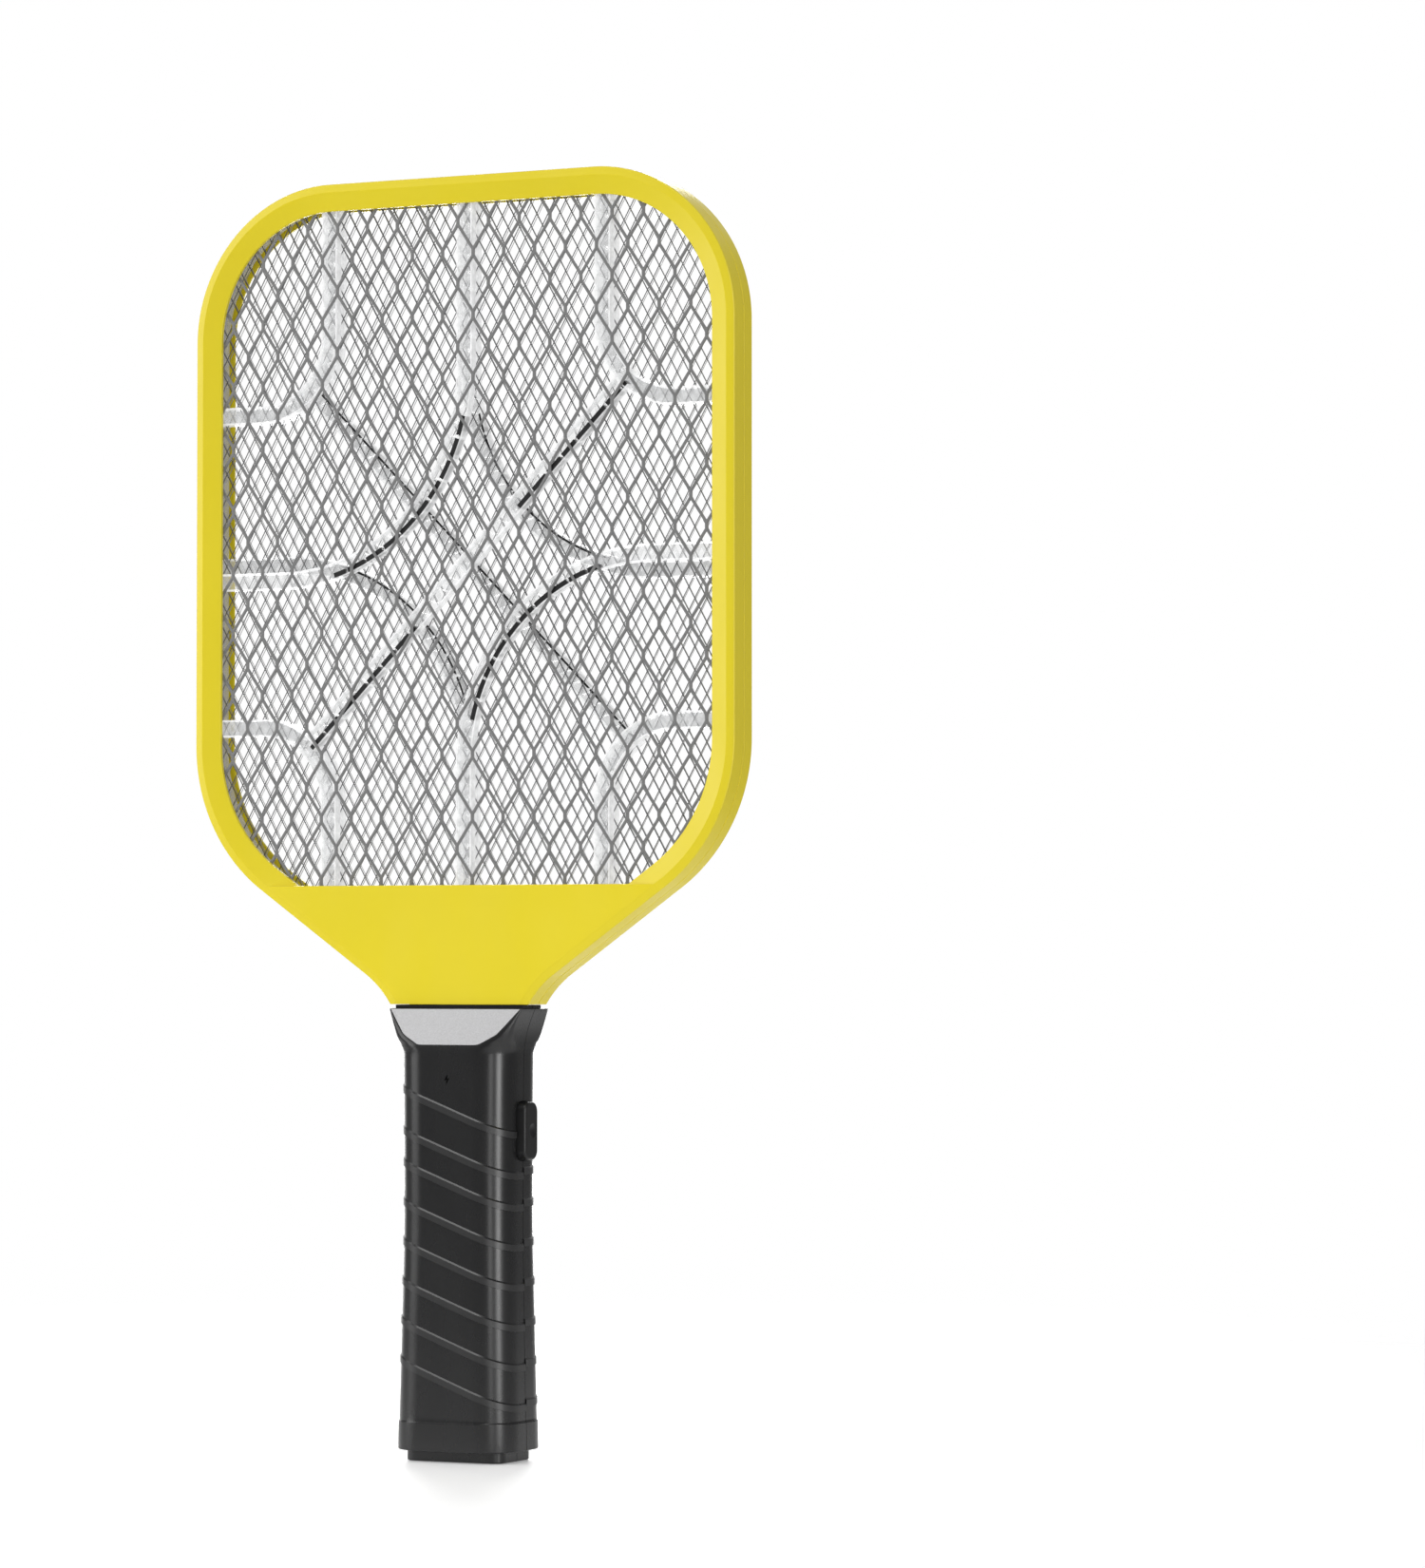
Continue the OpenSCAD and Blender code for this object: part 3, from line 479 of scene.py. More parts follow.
def half_outline(inset, fine=1.0):
    """Right half of the head's outline moved in by inset, from the neck up to the top centre."""
    pts = []
    hollow = NECK_R + inset
    start = math.asin((NECK_Z - NECK_CZ) / hollow)
    steps = int(26 * fine)
    for k in range(steps + 1):
        t = start + (TURN - start) * k / steps
        pts.append((NECK_X - hollow * math.cos(t), NECK_CZ + hollow * math.sin(t)))
    reach = LOW_R - inset
    x1, z1 = LOW_X + reach * math.cos(TURN), LOW_Z - reach * math.sin(TURN)
    x0, z0 = pts[-1]
    steps = int(12 * fine)
    pts += [(x0 + (x1 - x0) * k / steps, z0 + (z1 - z0) * k / steps) for k in range(1, steps)]
    steps = int(30 * fine)
    for k in range(steps + 1):
        t = -TURN + TURN * k / steps
        pts.append((LOW_X + reach * math.cos(t), LOW_Z + reach * math.sin(t)))
    steps = int(6 * fine)
    side = HEAD_HALF_W - inset
    pts += [(side, LOW_Z + (TOP_Z - LOW_Z) * k / steps) for k in range(1, steps)]
    reach = TOP_R - inset
    steps = int(44 * fine)
    for k in range(steps + 1):
        t = math.pi / 2 * k / steps
        pts.append((TOP_X + reach * math.cos(t), TOP_Z + reach * math.sin(t)))
    pts.append((0.0, TOTAL_H - inset))
    return pts


def whole_outline(inset):
    """The head's outline from the neck's right end over the top to its left end."""
    right = half_outline(inset)
    return right + [(-x, z) for x, z in reversed(right[:-1])]


def stack_polygon(inset, floor_z, fine=0.5):
    """Convex outline of the meshes' stack, closed by a straight bottom."""
    right = [p for p in half_outline(inset, fine) if p[1] > floor_z + 1]
    steps = half_outline(inset, 8)
    foot = min((p for p in steps if p[1] >= floor_z), key=lambda p: p[1])
    right.insert(0, (foot[0], floor_z))
    return right + [(-x, z) for x, z in reversed(right[:-1])]


def ring_sweep(name, section, material):
    """A section of (inset, y) points swept round the head, open at the neck."""
    lines = [[(x, y, z) for x, z in whole_outline(inset)] for inset, y in section]
    return loft(name, list(zip(*lines)), material)


def neck_panel(name, y_back, y_front, material):
    """The flat panel under the opening, with a small round on its top edge."""
    way = 1 if y_front > y_back else -1
    levels = [(y_back, 0), (y_front - way * 0.3, 0), (y_front - way * 0.09, 0.09), (y_front, 0.3)]
    dense = half_outline(BEVEL_W + 0.05, 8)
    rings = []
    for y, drop in levels:
        low = [p for p in dense if p[1] <= OPENING_Z - drop]
        step = (len(low) - 1) / 39
        right = [low[round(step * k)] for k in range(40)]
        right[-1] = (right[-1][0], OPENING_Z - drop)
        rings.append([(x, y, z) for x, z in right] + [(-x, y, z) for x, z in reversed(right)])
    return loft(name, rings, material)


# ---- Yellow head shells ----

front_section = fillet(
    [
        (0, -GAP),
        (0, -7.2),
        (BEVEL_W, -7.8),
        (RING_W, -5.8),
        (RING_W, FRONT_SEAT_Y),
        (SHELL_W, FRONT_SEAT_Y),
        (SHELL_W, -1),
        (0.95, -1),
        (0.95, -GAP),
    ],
    [0.15, 0.5, 0.6, 0.35, 0, 0, 0, 0, 0],
)
rear_section = fillet(
    [
        (0, GAP),
        (0, 6.2),
        (BEVEL_W, 6.8),
        (RING_W - 0.6, 4.8),
        (RING_W - 0.6, REAR_SEAT_Y),
        (SHELL_W, REAR_SEAT_Y),
        (SHELL_W, -0.85),
        (1.05, -0.85),
        (1.05, GAP),
    ],
    [0.15, 0.5, 0.6, 0.35, 0, 0, 0, 0, 0],
)


def plug_bore(y0, y1, z0, z1):
    """The plug's hollow, between two planes each way."""
    return box("c", (-PLUG_BORE_W / 2, y0, z0), (PLUG_BORE_W / 2, y1, z1))


def plug_half(name, y0, y1):
    """Half of the hollow plug that the handle clamps."""
    body = box(name, (-PLUG_W / 2, y0, PLUG_FOOT_Z), (PLUG_W / 2, y1, SHELF_TOP_Z), YELLOW)
    return cut(body, plug_bore(-PLUG_BORE_D / 2, PLUG_BORE_D / 2, PLUG_FOOT_Z - 1, NECK_Z + 3))


def screw_hole(x, z, seat, y1):
    """Clearance for a screw from the back up to y1, and for its head from the seat."""
    return (
        rod("c", (x, -1, z), (x, y1, z), SCREW_R),
        rod("c", (x, seat, z), (x, y1, z), SCREW_HEAD_R, 40),
    )


def ledge(y0, y1):
    """Ledge under the meshes, with gaps for the leads."""
    return [
        box("ledge", (x0, y0, LEDGE_FOOT_Z), (x1, y1, LEDGE_TOP_Z), YELLOW)
        for x0, x1 in ((-60, -20), (-12, -1), (4, 12), (20, 60))
    ]


front = ring_sweep("front_frame_shell", front_section, YELLOW)
join(front, neck_panel("panel", -5.6, -7.8, YELLOW), *ledge(-6.8, -0.3))
join(front, box("shelf", (-SHELF_HALF_W, -7.3, NECK_Z), (SHELF_HALF_W, -GAP, SHELF_TOP_Z), YELLOW))
join(front, *[rod("post", (x, -6.8, z), (x, -0.2, z), 3.2, 32, YELLOW) for x, z in FRAME_SCREWS])
cut(front, plug_bore(-PLUG_BORE_D / 2, 1, NECK_Z - 1, NECK_Z + 2))
join(front, plug_half("plug", -PLUG_D / 2, -GAP))
cut(front, *[rod("c", (x, -6.2, z), (x, 1, z), 1.36) for x, z in FRAME_SCREWS])

rear = ring_sweep("rear_frame_shell", rear_section, YELLOW)
join(rear, neck_panel("panel", 4.6, 6.8, YELLOW), *ledge(0.3, 5.8))
join(rear, box("shelf", (-SHELF_HALF_W, GAP, NECK_Z), (SHELF_HALF_W, 6.3, SHELF_TOP_Z), YELLOW))
join(rear, *[rod("post", (x, 0, z), (x, 5.8, z), 3.6, 32, YELLOW) for x, z in FRAME_SCREWS])
cut(rear, plug_bore(-1, PLUG_BORE_D / 2, NECK_Z - 1, NECK_Z + 2))
join(rear, plug_half("plug", GAP, PLUG_D / 2))
for x, z in FRAME_SCREWS:
    cut(rear, *screw_hole(x, z, 5.0, 8))

for obj, node in ((front, "front_frame"), (rear, "rear_frame")):
    smooth(obj)
    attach(obj, "swatter")
    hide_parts(node)


# ---- Guards, live mesh and spacers ----


def clip(polygon, window):
    """A convex polygon cut to a convex window that runs anticlockwise."""
    out = polygon
    for i, a in enumerate(window):
        b = window[(i + 1) % len(window)]
        ex, ez = b[0] - a[0], b[1] - a[1]
        side = [ex * (p[1] - a[1]) - ez * (p[0] - a[0]) for p in out]
        kept = []
        for k, p in enumerate(out):
            q, sp, sq = out[(k + 1) % len(out)], side[k], side[(k + 1) % len(out)]
            if sp >= 0:
                kept.append(p)
            if sp * sq < 0:
                t = sp / (sp - sq)
                kept.append((p[0] + (q[0] - p[0]) * t, p[1] + (q[1] - p[1]) * t))
        out = kept
        if len(out) < 3:
            return []
    return out


def plate(name, loops, y_mid, thick, bevel, material):
    """A flat plate in the X-Z plane from closed outlines, holes among them, with rounded rims."""
    curve = bpy.data.curves.new(name, "CURVE")
    curve.dimensions = "2D"
    curve.fill_mode = "BOTH"
    curve.extrude = (thick / 2 - bevel) * MM
    curve.bevel_depth = bevel * MM
    curve.bevel_resolution = 1
    curve.offset = -bevel * MM
    for loop in loops:
        spline = curve.splines.new("POLY")
        spline.points.add(len(loop) - 1)
        for point, (x, z) in zip(spline.points, loop):
            point.co = (x * MM, z * MM, 0, 1)
        spline.use_cyclic_u = True
    maker = bpy.data.objects.new(name, curve)
    bpy.context.scene.collection.objects.link(maker)
    graph = bpy.context.evaluated_depsgraph_get()
    mesh = bpy.data.meshes.new_from_object(maker.evaluated_get(graph))
    bpy.data.objects.remove(maker)
    turn = Matrix.Translation((0, y_mid * MM, 0)) @ Matrix.Rotation(math.pi / 2, 4, "X")
    mesh.transform(turn)
    bm = bmesh.new()
    bm.from_mesh(mesh)
    bmesh.ops.remove_doubles(bm, verts=bm.verts, dist=WELD)
    bmesh.ops.recalc_face_normals(bm, faces=bm.faces)
    bm.to_mesh(mesh)
    bm.free()
    mesh.materials.clear()
    mesh.materials.append(material)
    obj = bpy.data.objects.new(name, mesh)
    bpy.context.scene.collection.objects.link(obj)
    return obj


def guard_loops():
    """Rim and diamond holes of one guard."""
    half_w = PITCH_X / 2 - BOND_W / 2
    low = BOND_H / 2
    slant = math.hypot(PITCH_X / 2, PITCH_Z / 2 - low)
    tall = PITCH_Z / 2 - low - STRAND * slant / PITCH_X
    hole = fillet(
        [(half_w, -low), (half_w, low), (0, tall), (-half_w, low), (-half_w, -low), (0, -tall)],
        [0.4, 0.4, 0.2, 0.4, 0.4, 0.2],
        2,
    )
    window = stack_polygon(STACK_INSET + MESH_RIM, STACK_Z + MESH_RIM, 0.4)
    loops = [stack_polygon(STACK_INSET, STACK_Z)]
    for i in range(-18, 32):
        for j in range(-15, 12):
            if (i + j) % 2 == 0:
                continue
            cx, cz = BOND_X + i * PITCH_X / 2, BOND_Z + j * PITCH_Z / 2
            piece = clip([(cx + x, cz + z) for x, z in hole], window)
            if piece:
                loops.append(piece)
    return loops


def chord(x, z, dx, dz, window):
    """Where a line crosses a convex window, as two distances along it, or None."""
    low, high = -1e9, 1e9
    for i, a in enumerate(window):
        b = window[(i + 1) % len(window)]
        ex, ez = b[0] - a[0], b[1] - a[1]
        here = ex * (z - a[1]) - ez * (x - a[0])
        rate = ex * dz - ez * dx
        if abs(rate) < 1e-12:
            if here < 0:
                return None
            continue
        t = -here / rate
        if rate > 0:
            low = max(low, t)
        else:
            high = min(high, t)
    return (low, high) if high - low > 1 else None


def fine_mesh(name, y_mid, shifts, wire_r, material):
    """Two crossed layers of thin wires on a flat rim. At WIRE_Z, each layer has a wire at its shift in x."""
    window = stack_polygon(STACK_INSET + 1.2, STACK_Z + 1.2, 0.4)
    verts, faces = [], []
    length = math.hypot(LIVE_X, LIVE_Z)
    sides = 6
    for lean, y, shift in ((1, y_mid - 0.12, shifts[0]), (-1, y_mid + 0.12, shifts[1])):
        dx, dz = lean * LIVE_X / length, LIVE_Z / length
        nx, nz = -dz, dx
        for i in range(-60, 61):
            x0 = i * LIVE_X + shift
            span = chord(x0, WIRE_Z, dx, dz, window)
            if not span:
                continue
            base = len(verts)
            for t in span:
                for k in range(sides):
                    a = 2 * math.pi * k / sides
                    off, dy = wire_r * math.cos(a), wire_r * math.sin(a)
                    verts.append((x0 + dx * t + nx * off, y + dy, WIRE_Z + dz * t + nz * off))
            for k in range(sides):
                n = (k + 1) % sides
                faces.append((base + k, base + n, base + sides + n, base + sides + k))
            faces.append(tuple(base + k for k in range(sides)))
            faces.append(tuple(base + sides + k for k in reversed(range(sides))))
    wires = mesh_object("wires", verts, faces, material)
    outer = stack_polygon(STACK_INSET, STACK_Z)
    inner = stack_polygon(STACK_INSET + MESH_RIM, STACK_Z + MESH_RIM)
    return merge(name, [wires, plate("rim", [outer, inner], y_mid, MESH_T, 0.05, material)])


front_guard = smooth(plate("front_guard_grid", guard_loops(), FRONT_GUARD_Y, MESH_T, 0.14, GUARD), 50)
rear_guard = smooth(fine_mesh("rear_guard_grid", REAR_GUARD_Y, REAR_SHIFTS, REAR_WIRE_R, GUARD_BACK), 70)
live = smooth(fine_mesh("live_mesh_grid", LIVE_Y, LIVE_SHIFTS, WIRE_R, LIVE), 70)
for obj, node, slot in (
    (front_guard, "front_guard_mesh", "guard_metal"),
    (rear_guard, "rear_guard_mesh", "guard_metal"),
    (live, "high_voltage_mesh", "live_metal"),
):
    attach(obj, "swatter")
    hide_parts(node)


def arc(cx, cz, r, a0, a1, steps=16):
    """Points of an arc, angles in degrees."""
    turns = [math.radians(a0 + (a1 - a0) * k / steps) for k in range(steps + 1)]
    return [(cx + r * math.cos(t), cz + r * math.sin(t)) for t in turns]


LONG_CENTRES = [(-LONG_R, LEFT_RIB_Z + LONG_R), (LONG_R, RIGHT_RIB_Z - LONG_R)]
DIAGONAL = [(-CROSS_HALF, CROSS_Z - CROSS_HALF), (CROSS_HALF, CROSS_Z + CROSS_HALF)]


def rib_lines():
    """Centre lines of a spacer's ribs: four round the corners, two long bends and the diagonal."""
    lines = []
    for s in (-1, 1):
        cx, way = s * (SIDE_RIB_X + CORNER_R), 0 if s < 0 else 180
        for rib_z, end_z, up in ((HIGH_RIB_Z, RIB_TOP_Z, 1), (LOW_RIB_Z, RIB_FOOT_Z, -1)):
            bend = arc(cx, rib_z + up * CORNER_R, CORNER_R, way, way + s * up * 90)
            lines.append([(s * SIDE_RIB_X, end_z)] + bend + [(s * RIB_END_X, rib_z)])
    left, right = LONG_CENTRES
    lines.append([(0, RIB_TOP_Z)] + arc(*left, LONG_R, 0, -90, 30) + [(-RIB_END_X, LEFT_RIB_Z)])
    lines.append([(0, RIB_FOOT_Z)] + arc(*right, LONG_R, 180, 90, 30) + [(RIB_END_X, RIGHT_RIB_Z)])
    lines.append(DIAGONAL)
    return lines


def shade_lines(crossing):
    """The stretches of rib with a painted dark reflection line, each with its side: all of the diagonal if
    crossing.
    """
    left, right = LONG_CENTRES
    bends = [
        (arc(*left, LONG_R, -13, -74, 20), 1),
        (arc(*right, LONG_R, 167, 106, 20), -1),
    ]
    if crossing:
        return bends + [(DIAGONAL, -1)]
    low, high = DIAGONAL
    inner = 0.33 * CROSS_HALF
    return bends + [
        ([low, (-inner, CROSS_Z - inner)], -1),
        ([(inner, CROSS_Z + inner), high], -1),
    ]


def resample(line, step):
    """The line again, with points this far apart."""
    total = sum(math.dist(a, b) for a, b in zip(line, line[1:]))
    count = max(2, round(total / step))
    out, walked, i = [], 0.0, 0
    for k in range(count + 1):
        goal = total * k / count
        while i < len(line) - 2 and walked + math.dist(line[i], line[i + 1]) < goal:
            walked += math.dist(line[i], line[i + 1])
            i += 1
        a, b = line[i], line[i + 1]
        t = min(1.0, (goal - walked) / math.dist(a, b))
        out.append((a[0] + (b[0] - a[0]) * t, a[1] + (b[1] - a[1]) * t))
    return out


def normals(line):
    """Unit normals at a line's points."""
    out = []
    for i in range(len(line)):
        a, b = line[max(0, i - 1)], line[min(len(line) - 1, i + 1)]
        d = Vector((b[0] - a[0], b[1] - a[1])).normalized()
        out.append((-d.y, d.x))
    return out


def strip(name, line, side, half, y0, y1, material):
    """A flat bar along a line, moved sideways by side."""
    rings = []
    for (x, z), (nx, nz) in zip(line, normals(line)):
        a, b = side - half, side + half
        rings.append(
            [
                (x + nx * a, y0, z + nz * a),
                (x + nx * b, y0, z + nz * b),
                (x + nx * b, y1, z + nz * b),
                (x + nx * a, y1, z + nz * a),
            ]
        )
    return loft(name, rings, material)


def dashes(line, length, gap):
    """The line cut into lengths with gaps between them."""
    fine = resample(line, gap)
    count = round(length / gap)
    return [fine[i : i + count + 1] for i in range(0, len(fine) - 2, count + 1)]


def rib_parts(line, y0, plastic):
    """One rib: a web between two walls, with a zig-zag brace."""
    y1 = y0 + SPACER_T
    out, half = (RIB_W - RIB_WALL) / 2, RIB_WALL / 2
    # The walls use the plastic with the strongest glow, a painted highlight along the rib's sides.
    walls = [strip("wall", line, side * out, half, y0, y1, CLEAR_EDGE) for side in (-1, 1)]
    web = strip("web", line, 0, RIB_W / 2 - RIB_WALL, y0 + 1.3, y0 + 2.0, plastic)
    brace = []
    for i, ((x, z), (nx, nz)) in enumerate(zip(line, normals(line))):
        off = (RIB_W / 2 - 0.6) * (1 if i % 2 else -1)
        brace.append((x + nx * off, z + nz * off))
    return walls + [web, strip("brace", brace, 0, 0.22, y0 + 0.3, y1 - 0.3, plastic)]


def spacer(name, y0, flip, shade, plastic):
    """Clear spacer: ribs, dark strips of half width shade along some of them that paint a dark reflection in
    the ribs' walls, a rim and a foot.
    """
    y1 = y0 + SPACER_T
    parts = []
    for line in rib_lines():
        parts += rib_parts(resample([(flip * x, z) for x, z in line], RIB_STEP), y0, plastic)
    # Painted dark reflection: near-black strips beside the walls, cut into short dashes.
    for line, side in shade_lines(flip < 0):
        off = side * (RIB_W / 2 - RIB_WALL - shade)
        for dash in dashes([(flip * x, z) for x, z in line], 6.6, 1.1):
            parts.append(strip("shade", dash, off, shade, y0 + 0.05, y1 - 0.05, EDGE))
    rim = ring_sweep("rim", [(STACK_INSET, y0), (STACK_INSET, y1), (6.8, y1), (6.8, y0)], plastic)
    parts.append(cut(rim, box("c", (-120, -20, 100), (120, 20, STACK_Z))))
    parts.append(box("foot_bar", (-62, y0, STACK_Z), (62, y1, STACK_Z + 4.5), plastic))
    return merge(name, parts)


for name, y0, flip, shade, plastic, node in (
    ("front_spacer_ribs", FRONT_SPACER_Y, 1, 0.85, CLEAR, "front_spacer"),
    ("rear_spacer_ribs", REAR_SPACER_Y, -1, 0.38, CLEAR_REAR, "rear_spacer"),
):
    obj = smooth(spacer(name, y0, flip, shade, plastic), 40)
    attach(obj, "swatter")
    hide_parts(node)


# ---- Handle ----


HEIGHTS = [section[0] for section in SECTIONS]
SMOOTH_FROM = HEIGHTS.index(GROOVE_TOP_Z)
HALF_DEPTH = 2


def rate(values, k):
    """How fast a section value changes between rows k and k + 1."""
    return (values[k + 1] - values[k]) / (HEIGHTS[k + 1] - HEIGHTS[k])


def slope(values, k):
    """The smooth curve's slope at row k."""
    if k <= SMOOTH_FROM:
        return rate(values, SMOOTH_FROM)
    if k == len(values) - 1:
        return rate(values, k - 1)
    a, b = rate(values, k - 1), rate(values, k)
    return 2 * a * b / (a + b) if a * b > 0 else 0.0


def eased(z, column):
    """A section value at height z, straight at the foot and in the collar's depth, smooth elsewhere."""
    values = [section[column] for section in SECTIONS]
    z = min(max(z, HEIGHTS[0]), HEIGHTS[-1])
    i = max(k for k in range(len(values) - 1) if HEIGHTS[k] <= z)
    h = HEIGHTS[i + 1] - HEIGHTS[i]
    t = (z - HEIGHTS[i]) / h
    if i < SMOOTH_FROM or (column == HALF_DEPTH and z >= COLLAR_FOOT_Z):
        return values[i] + (values[i + 1] - values[i]) * t
    t2, t3 = t * t, t * t * t
    return (
        (2 * t3 - 3 * t2 + 1) * values[i]
        + (t3 - 2 * t2 + t) * h * slope(values, i)
        + (3 * t2 - 2 * t3) * values[i + 1]
        + (t3 - t2) * h * slope(values, i + 1)
    )


def section_ring(z, out):
    """The handle's outline at height z, grown by out, with three points on each side between its corners."""
    half_w, half_d, r = (eased(z, column) for column in (1, 2, 3))
    corners = corner_arcs(half_w, half_d, r, max(r + out, 0.1), 10)
    pts = []
    for corner, following in zip(corners, corners[1:] + corners[:1]):
        (x0, y0), (x1, y1) = corner[-1], following[0]
        pts += corner + [(x0 + (x1 - x0) * k / 4, y0 + (y1 - y0) * k / 4) for k in (1, 2, 3)]
    return pts


def grip_rows(lift):
    """Rows of the handle's skin: height at the middle, outward step and 1 if the bands' slope applies."""
    rows = [(SKIN_FOOT_Z, -0.5, 0), (SKIN_FOOT_Z + 0.15, -0.15, 0), (SKIN_FOOT_Z + 0.5, 0, 0), (8, 0, 0)]
    rows += [(GROOVE_Z - 0.2, 0, 0), (GROOVE_Z, -0.05, 0), (GROOVE_Z + 0.15, -0.05, 0)]
    rows += [(GROOVE_TOP_Z, 0, 0)]
    tops = [t + lift for t in BAND_TOPS]
    for i, top in enumerate(tops):
        low = top - BAND_H
        before = tops[i - 1] if i else 15.0
        rows += [(before + (low - 0.06 - before) * k / 5, 0, 1) for k in range(1 if i else 0, 5)]
        rows += [(low - 0.06, 0, 1), (low, BAND_OUT, 1), (low + BAND_H / 2, BAND_OUT, 1)]
        rows += [(top - BAND_CHAMFER, BAND_OUT, 1), (top, 0, 1)]
    rows += [(z, 0, 1) for z in (122, 124, 126, 128, 130, 132, 134)]
    rows += [(z, 0, 0) for z in (STRAIGHT_Z, 136.4, 137.4, COLLAR_FOOT_Z - 0.2, COLLAR_FOOT_Z + 0.2)]
    rows += [(z, 0, 0) for z in (139.4, 140.4, 141.6, 143, 144.6, 146.2, 147.8, 149.3, 150.45)]
    rows += [(COLLAR_TOP_Z - 0.1, -0.1, 0), (COLLAR_TOP_Z, -0.35, 0)]
    return rows


def slant(w, lift):
    """How much of the bands' slope a row takes, from none at the ends to all of it between them."""
    low, top = 24 + lift, 118.6 + lift
    if w < low:
        return max(0.0, (w - GROOVE_TOP_Z) / (low - GROOVE_TOP_Z))
    return 1.0 if w < top else max(0.0, (STRAIGHT_Z - w) / (STRAIGHT_Z - top))


def grip(name, lift=0.0, out=0.0, bands=True):
    """The handle's outer solid, with its slanted bands."""
    rings = []
    rows = grip_rows(lift)
    for w, step, slanted in rows:
        share = slant(w, lift) if slanted else 0.0
        flat = section_ring(w, out)
        ring = []
        for k, (x, y) in enumerate(flat):
            z = w - x * BAND_SLOPE * share
            px, py = section_ring(z, out + (step if bands or step < 0 else 0))[k]
            ring.append((px, py, z))
        rings.append(ring)
    obj = loft(name, rings, BLACK)
    obj.data.materials.append(BAND)
    for face in obj.data.polygons:
        i = face.index // len(rings[0])
        if i + 1 < len(rows) and rows[i][1] == BAND_OUT == rows[i + 1][1]:
            face.material_index = 1
    return obj


def prism_z(name, points, z0, z1):
    """A solid along Z from (x, y) points."""
    return loft(name, [[(x, y, z) for x, y in points] for z in (z0, z1)], BLACK)


def prism_x(name, points, x0, x1):
    """A solid along X from (y, z) points."""
    return loft(name, [[(x, y, z) for y, z in points] for x in (x0, x1)], BLACK)


def bore():
    """The handle's long hollow."""
    return prism_z("c", round_rect(BORE_HALF_W, BORE_HALF_D, BORE_R), 6, 136)


def slot_box():
    """The slot that the head's plug goes into, 0.2 mm larger all round."""
    half_w, half_d = PLUG_W / 2 + 0.2, PLUG_D / 2 + 0.2
    return box("c", (-half_w, -half_d, PLUG_FOOT_Z - 1), (half_w, half_d, 153))


def collar_lip():
    """Low lip on the collar's top, under the head."""
    return box("lip", (-24, -7.1, COLLAR_TOP_Z - 0.6), (24, 6.1, NECK_Z - 0.15))


def beyond(y):
    """Everything behind a plane across the handle."""
    return box("c", (-40, y, -5), (40, 40, 200))


def ahead_of(y):
    """Everything in front of a plane across the handle."""
    return box("c", (-40, -40, -5), (40, y, 200))


def button_hole():
    """The hole that the button slides in."""
    ring = [(y, z + BUTTON_Z) for y, z in round_rect(BUTTON_W / 2 + 0.3, BUTTON_LEN / 2 + 0.3, 3.7)]
    return prism_x("c", ring, 15.3, 27.3)


def collar_point(x, v, up):
    """A point on the collar's sloping front: v mm up the slope and up mm over its surface."""
    c, s = math.cos(COLLAR_TILT), math.sin(COLLAR_TILT)
    return (x, -COLLAR_FOOT_D + v * s - up * c, COLLAR_FOOT_Z + v * c + up * s)


def trim_outline(grow):
    """Outline of the silver plate, on the collar's slope."""
    low = 0.3 - grow / 2
    corners = [(24.5 + grow, 13.3), (17.6 + grow, low + 3.75), (11.3 + grow, low), (0, low)]
    right = fillet(corners, [0, 7, 5, 0], 6)[:-1]
    return right + [(-x, v) for x, v in reversed(right)]


def trim_solid(name, levels, material):
    """The silver plate's outline lofted through (grow, height over the slope) levels."""
    return loft(name, [[collar_point(x, v, up) for x, v in trim_outline(g)] for g, up in levels], material)


def bolt(y0, y1):
    """The lightning-bolt window, between two planes."""
    points = [(0.35, 1.95), (-1.05, -0.25), (-0.1, -0.25), (-0.4, -1.95), (1.05, 0.4), (0.15, 0.4)]
    return loft("c", [[(x, y, ICON_Z + z) for x, z in points] for y in (y0, y1)], BLACK)


def foot(y0, y1):
    """The foot's half between two planes, with a small round at its bottom edge."""
    levels = [(0, 0.6), (0.15, 0.25), (0.5, 0), (3.9, 0)]
    rings = [[(x, y, z) for x, y in round_rect(18.4 - g, 12 - g, 4.4 - g)] for z, g in levels]
    return cut(loft("foot", rings, BLACK), box("c", (-30, y0, -1), (30, y1, 5)))


front_grip = join(grip("front_grip_shell"), collar_lip())
cut(front_grip, bore(), slot_box(), beyond(-GAP))
join(front_grip, foot(-GAP, 20))
cut(front_grip, button_hole(), trim_solid("c", [(0.2, -0.8), (0.2, 3)], BLACK), bolt(-20, -10))
# A thin tongue inside the parting line, so that no light shows through it.
tongue = cut(grip("tongue", out=-0.8, bands=False), bore(), slot_box(), button_hole())
cut(tongue, ahead_of(-GAP - 0.2), beyond(GAP))
front_grip = merge("front_grip_shell", [front_grip, tongue])

rear_grip = join(grip("rear_grip_shell", REAR_LIFT), collar_lip())
cut(rear_grip, bore(), slot_box(), ahead_of(GAP))
join(rear_grip, foot(-20, GAP))
wall_ring = round_rect(BORE_HALF_W + 0.3, BORE_HALF_D + 0.3, BORE_R + 0.3)
for z in (BAY_Z0, BAY_Z1):
    wall = cut(prism_z("wall", wall_ring, z, z + BAY_WALL), ahead_of(GAP))
    skirt = box("skirt", (-BAY_HALF_W, BAY_FLOOR_Y, z), (BAY_HALF_W, 0.62, z + BAY_WALL))
    join(rear_grip, join(wall, skirt))
bay_floor = box("floor", (-BAY_HALF_W, BAY_FLOOR_Y, BAY_Z0), (BAY_HALF_W, -3.4, BAY_Z1 + BAY_WALL))
join(rear_grip, bay_floor)
